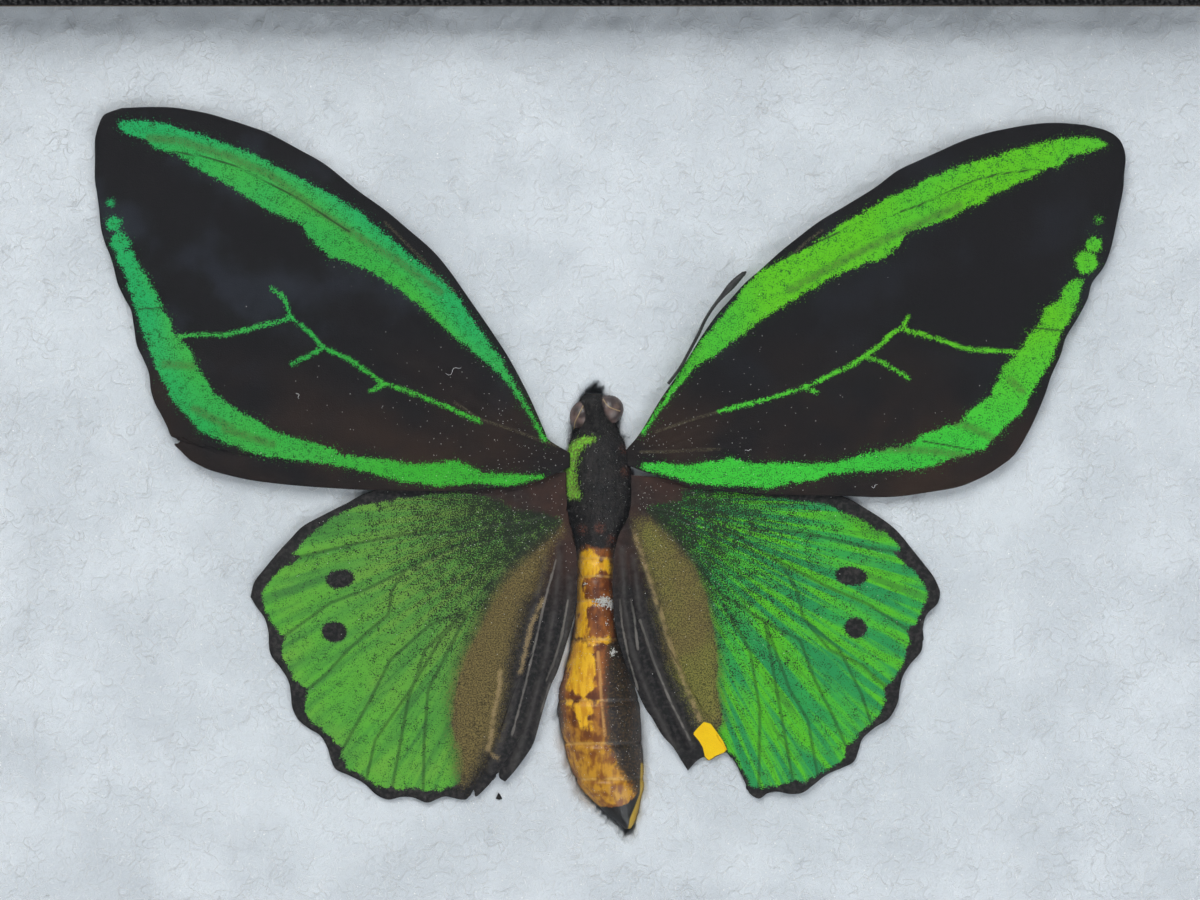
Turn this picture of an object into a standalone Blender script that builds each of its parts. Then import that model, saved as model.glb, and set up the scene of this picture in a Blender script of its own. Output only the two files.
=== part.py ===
"""A green birdwing butterfly in a shallow glazed display case.

The case lies flat with its window up: +Z is out through the glass, +X runs along
its longer side and +Y towards the butterfly's head. The origin is the middle of
the tray's underside. Outlines of the wings and the body are points on the flat
view of the specimen, in steps of OUTLINE_STEP, x to the right and y downwards.
"""

import math

import bpy
import numpy as np

# Case, in metres
CASE_WIDTH = 0.2032
CASE_DEPTH = 0.1524
CASE_HEIGHT = 0.0222
BOARD = 0.0015
BORDER = 0.0080
SKIRT_LIFT = 0.0010
LID_PLAY = 0.0005
GLASS = 0.0020
GAP = 0.0003
CORNER_ROUND = 0.0006

# Pins through the lid and the tray
PIN_SHANK_RADIUS = 0.00035
PIN_HEAD_RADIUS = 0.0009
PIN_HEAD_LENGTH = 0.0005
PIN_LENGTH = 0.0070
PIN_HEIGHT = 0.0110
PIN_HOLE_RADIUS = PIN_SHANK_RADIUS + GAP

# Levels inside the case
PAD_TOP = 0.0153
HINDWING_LEVEL = 0.0159
FOREWING_LEVEL = 0.0167
ANTENNA_LEVEL = 0.0174
GLASS_BOTTOM = CASE_HEIGHT - BOARD - GAP - GLASS
TRAY_TOP = GLASS_BOTTOM - GAP

# Specimen: its wingspan sets the step that all its outline points count in
WINGSPAN = 0.1340
WINGSPAN_STEPS = 1031.0
OUTLINE_STEP = WINGSPAN / WINGSPAN_STEPS
OUTLINE_MIDDLE_X = 605.0
OUTLINE_MIDDLE_Y = 534.6
WING_THICKNESS = 0.0003
FOREWING_ROOT_DROP = 0.00035
HINDWING_ROOT_DROP = 0.0002
ROOT_REACH = 0.0030
TIP_DROOP = 0.0004
EYE_RADIUS = 0.0020
LEG_RADIUS = 0.00035
ANTENNA_RADIUS = 0.00022
HOLLOW_MARGIN = 0.0009

# Edges of the wings, each from the root outwards, and the outer margin from front to back
LEFT_FOREWING = {
    "front": [(570, 453), (549, 440), (530, 398), (500, 345), (470, 300), (432, 250), (385, 210),
              (331, 168), (280, 139), (230, 120), (190, 110), (150, 107), (122, 108)],
    "outer": [(122, 108), (103, 116), (95, 140), (95, 180), (101, 228), (114, 268), (130, 308),
              (137, 345), (150, 380), (167, 426), (190, 460)],
    "hind": [(570, 467), (545, 478), (520, 486), (440, 491), (370, 490), (290, 485), (230, 476),
             (190, 460)],
    "root": (565, 462),
}
RIGHT_FOREWING = {
    "front": [(626, 450), (640, 433), (670, 386), (700, 339), (728, 302), (760, 270), (800, 236),
              (845, 206), (897, 171), (940, 151), (980, 135), (1035, 124), (1085, 125)],
    "outer": [(1085, 125), (1112, 134), (1125, 152), (1123, 190), (1115, 230), (1103, 268),
              (1087, 300), (1066, 337), (1051, 376), (1035, 418), (1009, 460)],
    "hind": [(627, 465), (645, 472), (690, 486), (760, 494), (840, 496), (890, 497), (945, 490),
             (980, 478), (1009, 460)],
    "root": (630, 460),
}
LEFT_HINDWING = {
    "front": [(566, 483), (530, 480), (480, 478), (420, 482), (371, 491), (325, 514), (290, 539),
              (264, 569), (250, 597)],
    "outer": [(250, 597), (264, 618), (268, 645), (280, 668), (290, 694), (298, 720), (320, 736),
              (335, 769), (364, 784), (388, 800), (406, 797), (427, 803), (446, 797), (461, 800),
              (477, 794), (493, 779), (505, 781)],
    "hind": [(567, 515), (567, 560), (566, 600), (560, 640), (550, 680), (541, 717), (526, 756),
             (505, 781)],
    "root": (565, 498),
}
RIGHT_HINDWING = {
    "front": [(631, 483), (680, 484), (740, 486), (800, 488), (850, 500), (888, 523), (913, 550),
              (934, 577), (940, 596)],
    "outer": [(940, 596), (926, 617), (922, 648), (904, 674), (899, 700), (887, 720), (863, 739),
              (854, 762), (827, 775), (803, 793), (778, 792), (759, 798), (749, 790), (729, 753),
              (708, 760), (688, 771)],
    "hind": [(631, 515), (622, 560), (618, 600), (624, 645), (637, 688), (652, 718), (673, 747),
             (688, 771)],
    "root": (632, 498),
}

# Body sections from the head to the claspers: y, left, right, then lowest and highest point in mm
BODY_SECTIONS = [
    (393, 588, 600, 12.2, 14.0), (400, 580, 606, 10.6, 15.8), (412, 577, 613, 9.6, 16.8),
    (424, 577, 617, 9.6, 16.8), (432, 574, 620, 9.2, 16.6), (442, 567, 627, 8.0, 17.2),
    (456, 562, 632, 7.0, 17.8), (475, 561, 635, 6.6, 18.0), (500, 562, 636, 6.6, 17.8),
    (520, 566, 632, 7.2, 17.0), (535, 572, 625, 7.8, 16.2), (548, 576, 619, 7.6, 16.0),
    (575, 576, 617, 7.2, 16.2), (602, 575, 618, 7.0, 16.6), (630, 572, 622, 6.8, 16.8),
    (660, 567, 629, 6.6, 17.0), (690, 556, 638, 6.6, 17.0), (715, 556, 642, 6.8, 17.0),
    (745, 563, 643, 7.0, 16.8), (770, 570, 645, 7.6, 16.6), (790, 580, 645, 8.4, 16.2),
    (803, 592, 642, 9.2, 15.6), (814, 603, 639, 10.4, 15.0), (823, 615, 636, 11.4, 14.6),
    (831, 625, 631, 12.4, 14.0),
]
EYES = {"left": (583.5, 415.0, 13.2), "right": (609.5, 409.0, 13.4)}
LEG_ROOTS = [450, 472, 495]
LEG_REACH = [24, 27, 22]
FOOT_SHIFT = [58, 62, 64]
ANTENNA_PATH = [(668, 384), (680, 368), (690, 350), (698, 335), (705, 320), (714, 306),
                (724, 294), (733, 284), (741, 276), (746, 272)]
CLUB_START = 5
CLUB_SWELL = 2.1

FOREWING_STEPS = (20, 12)
HINDWING_STEPS = (14, 30)
SECTION_SIDES = 16


def clear_scene():
    """Remove every object that the scene starts with."""
    for item in list(bpy.data.objects):
        bpy.data.objects.remove(item, do_unlink=True)


def new_collection(name):
    """Make a collection under the scene's own."""
    collection = bpy.data.collections.new(name)
    bpy.context.scene.collection.children.link(collection)
    return collection


def paint(name, colour, roughness, metallic=0.0, transmission=0.0):
    """Make a Principled material of one colour."""
    material = bpy.data.materials.new(name)
    material.use_nodes = True
    shader = material.node_tree.nodes["Principled BSDF"]
    shader.inputs["Base Color"].default_value = (*colour, 1.0)
    shader.inputs["Roughness"].default_value = roughness
    shader.inputs["Metallic"].default_value = metallic
    shader.inputs["Transmission Weight"].default_value = transmission
    return material


def place(item, collection, material=None):
    """Put an object in one collection and give it its material."""
    for holder in list(item.users_collection):
        holder.objects.unlink(item)
    collection.objects.link(item)
    if material is not None:
        item.data.materials.append(material)
    return item


def hide_as_tool(item, tools):
    """Keep an object that only cuts or joins another out of the model."""
    place(item, tools)
    item.hide_render = True
    item.display_type = "WIRE"
    return item


def box(name, size, centre):
    """A cuboid of the given size about its centre."""
    bpy.ops.mesh.primitive_cube_add(size=1.0, location=centre)
    item = bpy.context.active_object
    item.name = name
    item.scale = size
    bpy.ops.object.transform_apply(location=False, rotation=False, scale=True)
    return item


def rod(name, radius, length, centre, turn_z):
    """A cylinder lying level, its axis turned by turn_z from +X."""
    bpy.ops.mesh.primitive_cylinder_add(vertices=12, radius=radius, depth=length, location=centre,
                                        rotation=(0.0, math.pi / 2.0, turn_z))
    item = bpy.context.active_object
    item.name = name
    return item


def boolean(item, tool, operation):
    """Cut or join a tool, exactly."""
    modifier = item.modifiers.new(operation.title() + " " + tool.name, "BOOLEAN")
    modifier.operation = operation
    modifier.solver = "EXACT"
    modifier.object = tool


def round_edges(item, width):
    """Round a board's folded edges."""
    modifier = item.modifiers.new("Rounded edges", "BEVEL")
    modifier.width = width
    modifier.segments = 2
    modifier.limit_method = "ANGLE"


def on_plan(points):
    """Outline points as metres in the case's own X and Y."""
    grid = np.asarray(points, dtype=float)
    across = (grid[..., 0] - OUTLINE_MIDDLE_X) * OUTLINE_STEP
    along = (OUTLINE_MIDDLE_Y - grid[..., 1]) * OUTLINE_STEP
    return np.stack([across, along], axis=-1)


def smooth_through(points, count):
    """A Catmull-Rom curve through the points, read at equal steps of its length."""
    knots = np.asarray(points, dtype=float)
    ends = (2.0 * knots[:1] - knots[1:2], knots, 2.0 * knots[-1:] - knots[-2:-1])
    held = np.concatenate(ends)
    t = np.linspace(0.0, 1.0, 12, endpoint=False)[:, None]
    pieces = []
    for i in range(len(knots) - 1):
        a, b, c, d = held[i:i + 4]
        curve = 2.0 * b + (c - a) * t + (2.0 * a - 5.0 * b + 4.0 * c - d) * t ** 2
        pieces.append(0.5 * (curve + (3.0 * b - a - 3.0 * c + d) * t ** 3))
    line = np.concatenate(pieces + [knots[-1:]])
    length = np.concatenate([[0.0], np.cumsum(np.linalg.norm(np.diff(line, axis=0), axis=1))])
    wanted = np.linspace(0.0, length[-1], count)
    return np.stack([np.interp(wanted, length, line[:, k]) for k in range(line.shape[1])], axis=1)


def grid_mesh(name, points):
    """A mesh of quads over a grid of points, rows by columns."""
    rows, columns = points.shape[:2]
    corner = (np.arange(rows - 1)[:, None] * columns + np.arange(columns - 1)[None, :]).ravel()
    quads = np.stack([corner, corner + columns, corner + columns + 1, corner + 1], axis=1)
    mesh = bpy.data.meshes.new(name)
    mesh.from_pydata(points.reshape(-1, 3).tolist(), [], quads.tolist())
    return mesh


def wing(name, edges, level, root_drop, steps, material, collection):
    """A wing: the sheet that blends its four edges, then given its thickness."""
    spans, chords = steps
    front = smooth_through(on_plan(edges["front"]), spans + 1)
    hind = smooth_through(on_plan(edges["hind"]), spans + 1)
    outer = smooth_through(on_plan(edges["outer"]), chords + 1)
    root = np.linspace(front[0], hind[0], chords + 1)
    u = np.linspace(0.0, 1.0, spans + 1)[:, None, None]
    v = np.linspace(0.0, 1.0, chords + 1)[None, :, None]
    between = (1.0 - v) * front[:, None] + v * hind[:, None]
    between = between + (1.0 - u) * root[None] + u * outer[None]
    corners = (1.0 - u) * ((1.0 - v) * front[0] + v * hind[0])
    corners = corners + u * ((1.0 - v) * front[-1] + v * hind[-1])
    plan = between - corners
    reach = np.linalg.norm(plan - on_plan(edges["root"]), axis=-1)
    height = level - root_drop * np.exp(-reach / ROOT_REACH)
    height = height - TIP_DROOP * (reach / (WINGSPAN / 2.0)) ** 2
    sheet = grid_mesh(name, np.concatenate([plan, height[..., None]], axis=-1))
    item = bpy.data.objects.new(name, sheet)
    thick = item.modifiers.new("Wing thickness", "SOLIDIFY")
    thick.thickness = WING_THICKNESS
    thick.offset = 0.0
    return place(item, collection, material)


def body_loft(name, margin, raised):
    """A closed loft of oval sections, wider all round by margin and higher by raised."""
    angle = np.linspace(0.0, 2.0 * math.pi, SECTION_SIDES, endpoint=False)
    rings = []
    for y, left, right, low, high in BODY_SECTIONS:
        sides = on_plan([(left, y), (right, y)])
        half_width = (sides[1, 0] - sides[0, 0]) / 2.0 + margin
        bottom = low / 1000.0 - margin
        top = high / 1000.0 + raised
        ring = np.stack([
            (sides[0, 0] + sides[1, 0]) / 2.0 + half_width * np.cos(angle),
            np.full(SECTION_SIDES, sides[0, 1]),
            (bottom + top) / 2.0 + (top - bottom) / 2.0 * np.sin(angle),
        ], axis=1)
        rings.append(ring)
    rings[0][:, 1] += margin
    rings[-1][:, 1] -= margin
    points = np.concatenate(rings)
    faces = []
    for i in range(len(rings) - 1):
        for j in range(SECTION_SIDES):
            a = i * SECTION_SIDES + j
            b = i * SECTION_SIDES + (j + 1) % SECTION_SIDES
            faces.append((a, a + SECTION_SIDES, b + SECTION_SIDES, b))
    faces.append(tuple(range(SECTION_SIDES)))
    last = (len(rings) - 1) * SECTION_SIDES
    faces.append(tuple(range(last + SECTION_SIDES - 1, last - 1, -1)))
    mesh = bpy.data.meshes.new(name)
    mesh.from_pydata(points.tolist(), [], faces)
    mesh.flip_normals()
    return bpy.data.objects.new(name, mesh)


def tube(name, points, radius, swell=None):
    """A round tube along points, whose radius may swell from point to point."""
    data = bpy.data.curves.new(name, "CURVE")
    data.dimensions = "3D"
    data.bevel_depth = radius
    data.bevel_resolution = 1
    data.use_fill_caps = True
    spline = data.splines.new("POLY")
    spline.points.add(len(points) - 1)
    for i, point in enumerate(points):
        spline.points[i].co = (*point, 1.0)
        spline.points[i].radius = 1.0 if swell is None else swell[i]
    return bpy.data.objects.new(name, data)


def tube_as_mesh(name, points, radius, tools):
    """A tube made a closed mesh, so that it can be joined to another."""
    curve = place(tube(name + " path", points, radius), tools)
    bpy.context.view_layer.update()
    seen = curve.evaluated_get(bpy.context.evaluated_depsgraph_get())
    mesh = bpy.data.meshes.new_from_object(seen)
    item = bpy.data.objects.new(name, mesh)
    item.matrix_world = curve.matrix_world
    bpy.data.objects.remove(curve, do_unlink=True)
    weld = item.modifiers.new("Weld caps", "WELD")
    weld.merge_threshold = 0.00001
    return item


def eye(side, name, radius, tools):
    """A ball at one compound eye, which is set into the side of the head."""
    x, y, height = EYES[side]
    centre = on_plan((x, y))
    bpy.ops.mesh.primitive_uv_sphere_add(segments=16, ring_count=10, radius=radius,
                                         location=(centre[0], centre[1], height / 1000.0))
    item = bpy.context.active_object
    item.name = side + name
    return hide_as_tool(item, tools)


def leg(side, pair, tools):
    """A leg folded under the thorax: out from the midline, then back towards the tail."""
    middle = 598.0
    out = middle + side * LEG_REACH[pair]
    root_y = LEG_ROOTS[pair]
    knee = on_plan((out, root_y + 8.0))
    foot = on_plan((middle + side * (6.0 + 3.0 * pair), root_y + FOOT_SHIFT[pair]))
    hip = on_plan((middle + side * 9.0, root_y))
    points = [(*hip, 0.0085), (*knee, 0.0066), (*foot, 0.0058)]
    name = "leg_" + str(pair + 1) + ("_right" if side > 0 else "_left")
    return hide_as_tool(tube_as_mesh(name, points, LEG_RADIUS, tools), tools)


def make_case(collection, tools):
    """Tray, lid, glass and pins, with the holes that the pins pass through."""
    black_paper = paint("Black covering paper", (0.012, 0.012, 0.013), 0.55)
    clear = paint("Window glass", (0.9, 0.95, 0.93), 0.03, transmission=0.9)
    steel = paint("Pin steel", (0.6, 0.6, 0.6), 0.3, metallic=1.0)

    tray_width = CASE_WIDTH - 2.0 * (BOARD + LID_PLAY)
    tray_depth = CASE_DEPTH - 2.0 * (BOARD + LID_PLAY)
    tray = box("case_tray", (tray_width, tray_depth, TRAY_TOP), (0.0, 0.0, TRAY_TOP / 2.0))
    round_edges(place(tray, collection, black_paper), CORNER_ROUND)
    inside = box("tray inside", (tray_width - 2.0 * BOARD, tray_depth - 2.0 * BOARD, TRAY_TOP),
                 (0.0, 0.0, BOARD + TRAY_TOP / 2.0))
    boolean(tray, hide_as_tool(inside, tools), "DIFFERENCE")

    lid_height = CASE_HEIGHT - SKIRT_LIFT
    lid = box("case_lid", (CASE_WIDTH, CASE_DEPTH, lid_height),
              (0.0, 0.0, SKIRT_LIFT + lid_height / 2.0))
    round_edges(place(lid, collection, black_paper), CORNER_ROUND)
    under = box("lid inside", (CASE_WIDTH - 2.0 * BOARD, CASE_DEPTH - 2.0 * BOARD, CASE_HEIGHT),
                (0.0, 0.0, CASE_HEIGHT / 2.0 - BOARD))
    boolean(lid, hide_as_tool(under, tools), "DIFFERENCE")
    window = box("lid window", (CASE_WIDTH - 2.0 * BORDER, CASE_DEPTH - 2.0 * BORDER, 0.01),
                 (0.0, 0.0, CASE_HEIGHT))
    boolean(lid, hide_as_tool(window, tools), "DIFFERENCE")

    pane_inset = 2.0 * (BOARD + GAP)
    pane = box("glass_pane", (CASE_WIDTH - pane_inset, CASE_DEPTH - pane_inset, GLASS),
               (0.0, 0.0, GLASS_BOTTOM + GLASS / 2.0))
    place(pane, collection, clear)

    holes = []
    sides = {"right": (1, 0), "left": (-1, 0), "back": (0, 1), "front": (0, -1)}
    for side, (x, y) in sides.items():
        reach = CASE_WIDTH / 2.0 if x else CASE_DEPTH / 2.0
        turn = 0.0 if x else math.pi / 2.0
        shank_middle = reach + GAP + (PIN_HEAD_LENGTH - PIN_LENGTH) / 2.0
        head_middle = reach + GAP + PIN_HEAD_LENGTH / 2.0
        pin = rod("lid_pin_" + side, PIN_SHANK_RADIUS, PIN_LENGTH,
                  (x * shank_middle, y * shank_middle, PIN_HEIGHT), turn)
        place(pin, collection, steel)
        head = rod("pin head " + side, PIN_HEAD_RADIUS, PIN_HEAD_LENGTH,
                   (x * head_middle, y * head_middle, PIN_HEIGHT), turn)
        boolean(pin, hide_as_tool(head, tools), "UNION")
        hole = rod("pin hole " + side, PIN_HOLE_RADIUS, 2.0 * (PIN_LENGTH + GAP),
                   (x * reach, y * reach, PIN_HEIGHT), turn)
        holes.append(hide_as_tool(hole, tools))
    for hole in holes:
        boolean(tray, hole, "DIFFERENCE")
        boolean(lid, hole, "DIFFERENCE")
    return holes


def make_pad(collection, tools, pin_holes):
    """The wadding: a block that fills the tray, hollowed for the body and the legs."""
    white = paint("White wadding", (0.62, 0.66, 0.68), 0.95)
    inset = 2.0 * (2.0 * BOARD + LID_PLAY + GAP)
    bottom = BOARD + GAP
    pad = box("batting_pad", (CASE_WIDTH - inset, CASE_DEPTH - inset, PAD_TOP - bottom),
              (0.0, 0.0, (PAD_TOP + bottom) / 2.0))
    round_edges(place(pad, collection, white), 0.0008)
    hollow = body_loft("body hollow", HOLLOW_MARGIN, 0.004)
    boolean(pad, hide_as_tool(hollow, tools), "DIFFERENCE")
    for side in EYES:
        room = eye(side, " eye hollow", EYE_RADIUS + HOLLOW_MARGIN, tools)
        boolean(pad, room, "DIFFERENCE")
    middle = on_plan((598.0, 505.0))
    leg_room = box("leg hollow", (0.0088, 0.0165, 0.0045), (middle[0], middle[1], 0.0069))
    boolean(pad, hide_as_tool(leg_room, tools), "DIFFERENCE")
    for hole in pin_holes:
        boolean(pad, hole, "DIFFERENCE")


def make_body(collection, tools):
    """Head, thorax and abdomen as one loft, with the eyes and the legs grown on."""
    dark = paint("Dark body", (0.03, 0.022, 0.018), 0.7)
    body = place(body_loft("body", 0.0, 0.0), collection, dark)
    for side in EYES:
        boolean(body, eye(side, " eye", EYE_RADIUS, tools), "UNION")
    for pair in range(3):
        for side in (-1, 1):
            boolean(body, leg(side, pair, tools), "UNION")


def make_wings(collection):
    """The four wings, the forewings lying over the hindwings, and the loose antenna."""
    black_green = paint("Forewing scales", (0.02, 0.05, 0.02), 0.6)
    green = paint("Hindwing scales", (0.06, 0.32, 0.05), 0.55)
    fore = (FOREWING_LEVEL, FOREWING_ROOT_DROP, FOREWING_STEPS, black_green, collection)
    hind = (HINDWING_LEVEL, HINDWING_ROOT_DROP, HINDWING_STEPS, green, collection)
    wing("left_forewing", LEFT_FOREWING, *fore)
    wing("right_forewing", RIGHT_FOREWING, *fore)
    wing("left_hindwing", LEFT_HINDWING, *hind)
    wing("right_hindwing", RIGHT_HINDWING, *hind)

    black = paint("Antenna", (0.012, 0.011, 0.011), 0.5)
    path = on_plan(ANTENNA_PATH)
    swell = [1.0 + (CLUB_SWELL - 1.0) * min(1.0, max(0.0, (i - CLUB_START) / 2.0))
             for i in range(len(path))]
    swell[-1] = 1.0
    antenna = tube("right_antenna", [(x, y, ANTENNA_LEVEL) for x, y in path], ANTENNA_RADIUS, swell)
    place(antenna, collection, black)


clear_scene()
parts = new_collection("framed_butterfly_specimen")
helpers = new_collection("cutters_and_joins")
holes_for_pins = make_case(parts, helpers)
make_pad(parts, helpers, holes_for_pins)
make_body(parts, helpers)
make_wings(parts)
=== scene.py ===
import math

import bmesh
import bpy
import numpy as np
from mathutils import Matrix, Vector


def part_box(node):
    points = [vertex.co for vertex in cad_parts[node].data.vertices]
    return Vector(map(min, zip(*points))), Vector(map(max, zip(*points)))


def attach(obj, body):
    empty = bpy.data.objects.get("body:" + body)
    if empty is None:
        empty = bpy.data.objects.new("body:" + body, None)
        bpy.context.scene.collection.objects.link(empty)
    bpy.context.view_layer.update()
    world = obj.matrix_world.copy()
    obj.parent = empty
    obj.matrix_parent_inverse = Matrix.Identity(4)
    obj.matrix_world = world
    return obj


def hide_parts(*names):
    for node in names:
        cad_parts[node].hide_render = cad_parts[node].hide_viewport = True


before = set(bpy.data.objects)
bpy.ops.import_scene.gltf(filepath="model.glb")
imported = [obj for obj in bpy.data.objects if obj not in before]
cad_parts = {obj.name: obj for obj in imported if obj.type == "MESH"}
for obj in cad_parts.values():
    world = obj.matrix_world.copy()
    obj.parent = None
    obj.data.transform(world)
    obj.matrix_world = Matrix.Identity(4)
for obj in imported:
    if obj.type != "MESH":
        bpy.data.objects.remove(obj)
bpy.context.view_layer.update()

# The case's tray: a folded board box covered in black pebbled paper, glued round its edges.
# It carries everything else. Its solid is right as it is, so it only takes its finish.


class Wire:
    """One output of a shader node, on which arithmetic adds Math nodes."""

    def __init__(self, finish, socket):
        self.finish = finish
        self.socket = socket

    def math(self, operation, a, b=0.0):
        return self.finish.node("Math", {"operation": operation}, {0: a, 1: b})

    def __add__(self, other):
        return self.math("ADD", self, other)

    def __sub__(self, other):
        return self.math("SUBTRACT", self, other)

    def __rsub__(self, other):
        return self.math("SUBTRACT", other, self)

    def __mul__(self, other):
        return self.math("MULTIPLY", self, other)

    __radd__ = __add__
    __rmul__ = __mul__

    def over(self, other):
        """The larger of two."""
        return self.math("MAXIMUM", self, other)

    def rise(self, low, high):
        """0 at low and under, 1 at high and over, smooth between."""
        return self.finish.node("MapRange", {"interpolation_type": "SMOOTHSTEP"},
                                {"Value": self, "From Min": low, "From Max": high})


class Finish:
    """A material: its Principled shader, and one method that adds any other node."""

    def __init__(self, name, **constants):
        self.material = bpy.data.materials.new(name)
        self.material.use_nodes = True
        self.tree = self.material.node_tree
        self.shader = self.tree.nodes["Principled BSDF"]
        for key, value in constants.items():
            self.shader.inputs[key.replace("_", " ")].default_value = value
        self.here = self.node("TexCoord", {}, {}, "Object")

    def node(self, kind, settings, inputs, output=0):
        """Add a node, set it, join or fill its inputs, and give one of its outputs."""
        made = self.tree.nodes.new("ShaderNode" + kind)
        for key, value in settings.items():
            setattr(made, key, value)
        for key, value in inputs.items():
            if isinstance(value, Wire):
                self.tree.links.new(value.socket, made.inputs[key])
            else:
                made.inputs[key].default_value = value
        return Wire(self, made.outputs[output])

    def feed(self, name, wire):
        """Join a wire to an input of the shader."""
        self.tree.links.new(wire.socket, self.shader.inputs[name])

    def noise(self, size, detail=2.0, stretch=(1.0, 1.0, 1.0), turn=0.0):
        """Noise with lumps of about the given size in metres."""
        scale = tuple(size / s for s in stretch)
        where = self.node("Mapping", {"vector_type": "TEXTURE"},
                          {"Vector": self.here, "Scale": scale, "Rotation": (0.0, 0.0, turn)})
        return self.node("TexNoise", {}, {"Vector": where, "Scale": 1.0, "Detail": detail})

    def cells(self, size):
        """The distance to the middle of each cell of about the given size in metres."""
        return self.node("TexVoronoi", {}, {"Vector": self.here, "Scale": 1.0 / size}, "Distance")

    def attribute(self, name):
        """A field kept on the mesh's points."""
        return self.node("Attribute", {"attribute_name": name}, {}, "Fac")

    def near(self, name, low, high):
        """1 where the distance kept under the name is low or less, 0 where it is high or more."""
        return 1.0 - self.attribute(name).rise(low, high)

    def mix(self, factor, a, b):
        """Colour a where factor is 0 and b where it is 1."""
        a, b = [value if isinstance(value, Wire) else (*value, 1.0) for value in (a, b)]
        return self.node("Mix", {"data_type": "RGBA"}, {0: factor, 6: a, 7: b}, 2)

    def lay(self, base, *layers):
        """A colour with layers over it in turn, each given as its factor and its colour."""
        for factor, colour in layers:
            base = self.mix(factor, base, colour)
        return base

    def bump(self, height, depth, strength=1.0):
        """Relief of the given depth in metres."""
        lean = self.node("Bump", {}, {"Height": height, "Distance": depth, "Strength": strength})
        self.feed("Normal", lean)


def dress(node_name, finish):
    """Give a CAD node its finish."""
    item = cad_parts[node_name]
    item.data.materials.clear()
    item.data.materials.append(finish.material)


def pebbled(finish, lit_top):
    """The pebbles of the paper: their colour, painted paler on their tops and darker in the hollows between
    them as painted highlight and painted shade, and their height.
    """
    pebbles = finish.cells(PEBBLE)
    colour = finish.mix(pebbles.rise(0.1, 0.75), lit_top, (0.005, 0.005, 0.006))
    return colour, 1.0 - pebbles.rise(0.05, 0.8)


PEBBLE = 0.0008
paper = Finish("black pebbled paper", Roughness=0.42)
# The paper's black has a painted highlight on each pebble's top and painted shade between the pebbles.
paper_black, paper_relief = pebbled(paper, (0.016, 0.016, 0.018))
paper.feed("Base Color", paper_black)
paper.feed("Roughness", 0.30 + paper.noise(0.02, 4.0) * 0.25)
paper.bump(paper_relief, 0.00022)
dress("case_tray", paper)

# The lid: a second board box, whose skirt slips over the tray. Its window was punched through
# board and paper, so the cut edge shows the raw brown board. The paper is turned in under the skirt.

lid_low, lid_high = [np.array(corner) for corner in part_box("case_lid")]
BORDER = 0.0080
BOARD = 0.0015
FOLD_ROUND = 0.0006
CORNER_ROUND = 0.0011
WINDOW_ROUND = 0.0003
FOOT_ROUND = 0.0004
INNER_ROUND = 0.0002
PAPER_SWAY = 0.00004


def rounded_rectangle(half_x, half_y, radius, straight, turn):
    """Points round a rectangle, each side in equal steps and each corner a quarter circle."""
    arcs = []
    for quarter, sign in enumerate([(1, 1), (-1, 1), (-1, -1), (1, -1)]):
        centre = np.array([sign[0] * (half_x - radius), sign[1] * (half_y - radius)])
        sweep = (quarter + np.linspace(0.0, 1.0, turn)) * math.pi / 2.0
        arcs.append(centre + radius * np.stack([np.cos(sweep), np.sin(sweep)], axis=1))
    share = np.linspace(0.0, 1.0, straight + 2)[1:-1, None]
    loop = []
    for arc, following in zip(arcs, arcs[1:] + arcs[:1]):
        loop += [arc, arc[-1] * (1.0 - share) + following[0] * share]
    return np.concatenate(loop)


def surface(name, points, finish, wrap=(False, False), fields=None):
    """A mesh of quads over a grid of points, which may close on itself either way."""
    rows, columns = points.shape[:2]
    i = np.arange(rows if wrap[0] else rows - 1)[:, None]
    j = np.arange(columns if wrap[1] else columns - 1)[None, :]
    below = (i + 1) % rows * columns
    beside = (j + 1) % columns
    corners = np.broadcast_arrays(i * columns + j, below + j, below + beside, i * columns + beside)
    quads = np.stack(corners, axis=-1).reshape(-1, 4)
    mesh = bpy.data.meshes.new(name)
    mesh.from_pydata(points.reshape(-1, 3), [], quads)
    return finished(name, mesh, finish, fields)


def finished(name, mesh, finish, fields=None):
    """Link a mesh as a smooth piece that rides with the case, with its fields as attributes."""
    for key, values in (fields or {}).items():
        layer = mesh.attributes.new(key, "FLOAT", "POINT")
        layer.data.foreach_set("value", np.asarray(values, dtype=np.float32).ravel())
    mesh.materials.append(finish.material)
    mesh.shade_smooth()
    item = bpy.data.objects.new(name, mesh)
    bpy.context.scene.collection.objects.link(item)
    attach(item, "root")
    return item


def lid_profile():
    """The lid's cut outline: how far in from the outside, how high, and how raw, point by point."""
    top, foot = lid_high[2], lid_low[2]
    rows = [(BOARD, foot + FOOT_ROUND, 0.0), (BOARD - WINDOW_ROUND, foot, 0.0)]
    rows += [(WINDOW_ROUND, foot, 0.0), (0.0, foot + FOOT_ROUND, 0.0)]
    rows += [(0.0, z, 0.0) for z in np.linspace(foot + 0.001, top - FOLD_ROUND, 16)]
    bend = np.linspace(0.0, math.pi / 2.0, 6)[1:]
    rows += [(FOLD_ROUND * (1.0 - math.cos(t)), top - FOLD_ROUND * (1.0 - math.sin(t)), 0.0) for t in bend]
    rows += [(x, top, 0.0) for x in np.linspace(FOLD_ROUND, BORDER - WINDOW_ROUND, 9)[1:]]
    rows += [(BORDER, top - WINDOW_ROUND, 0.0), (BORDER, top - WINDOW_ROUND * 1.3, 1.0)]
    rows += [(BORDER, z, 1.0) for z in np.linspace(top - 0.0006, top - BOARD, 4)]
    rows += [(BORDER - INNER_ROUND, top - BOARD, 1.0), (BOARD + INNER_ROUND, top - BOARD, 0.0)]
    rows += [(BOARD, top - BOARD - INNER_ROUND, 0.0)]
    rows += [(BOARD, z, 0.0) for z in np.linspace(top - BOARD - 0.002, foot + 0.002, 4)]
    return np.array(rows)


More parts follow.
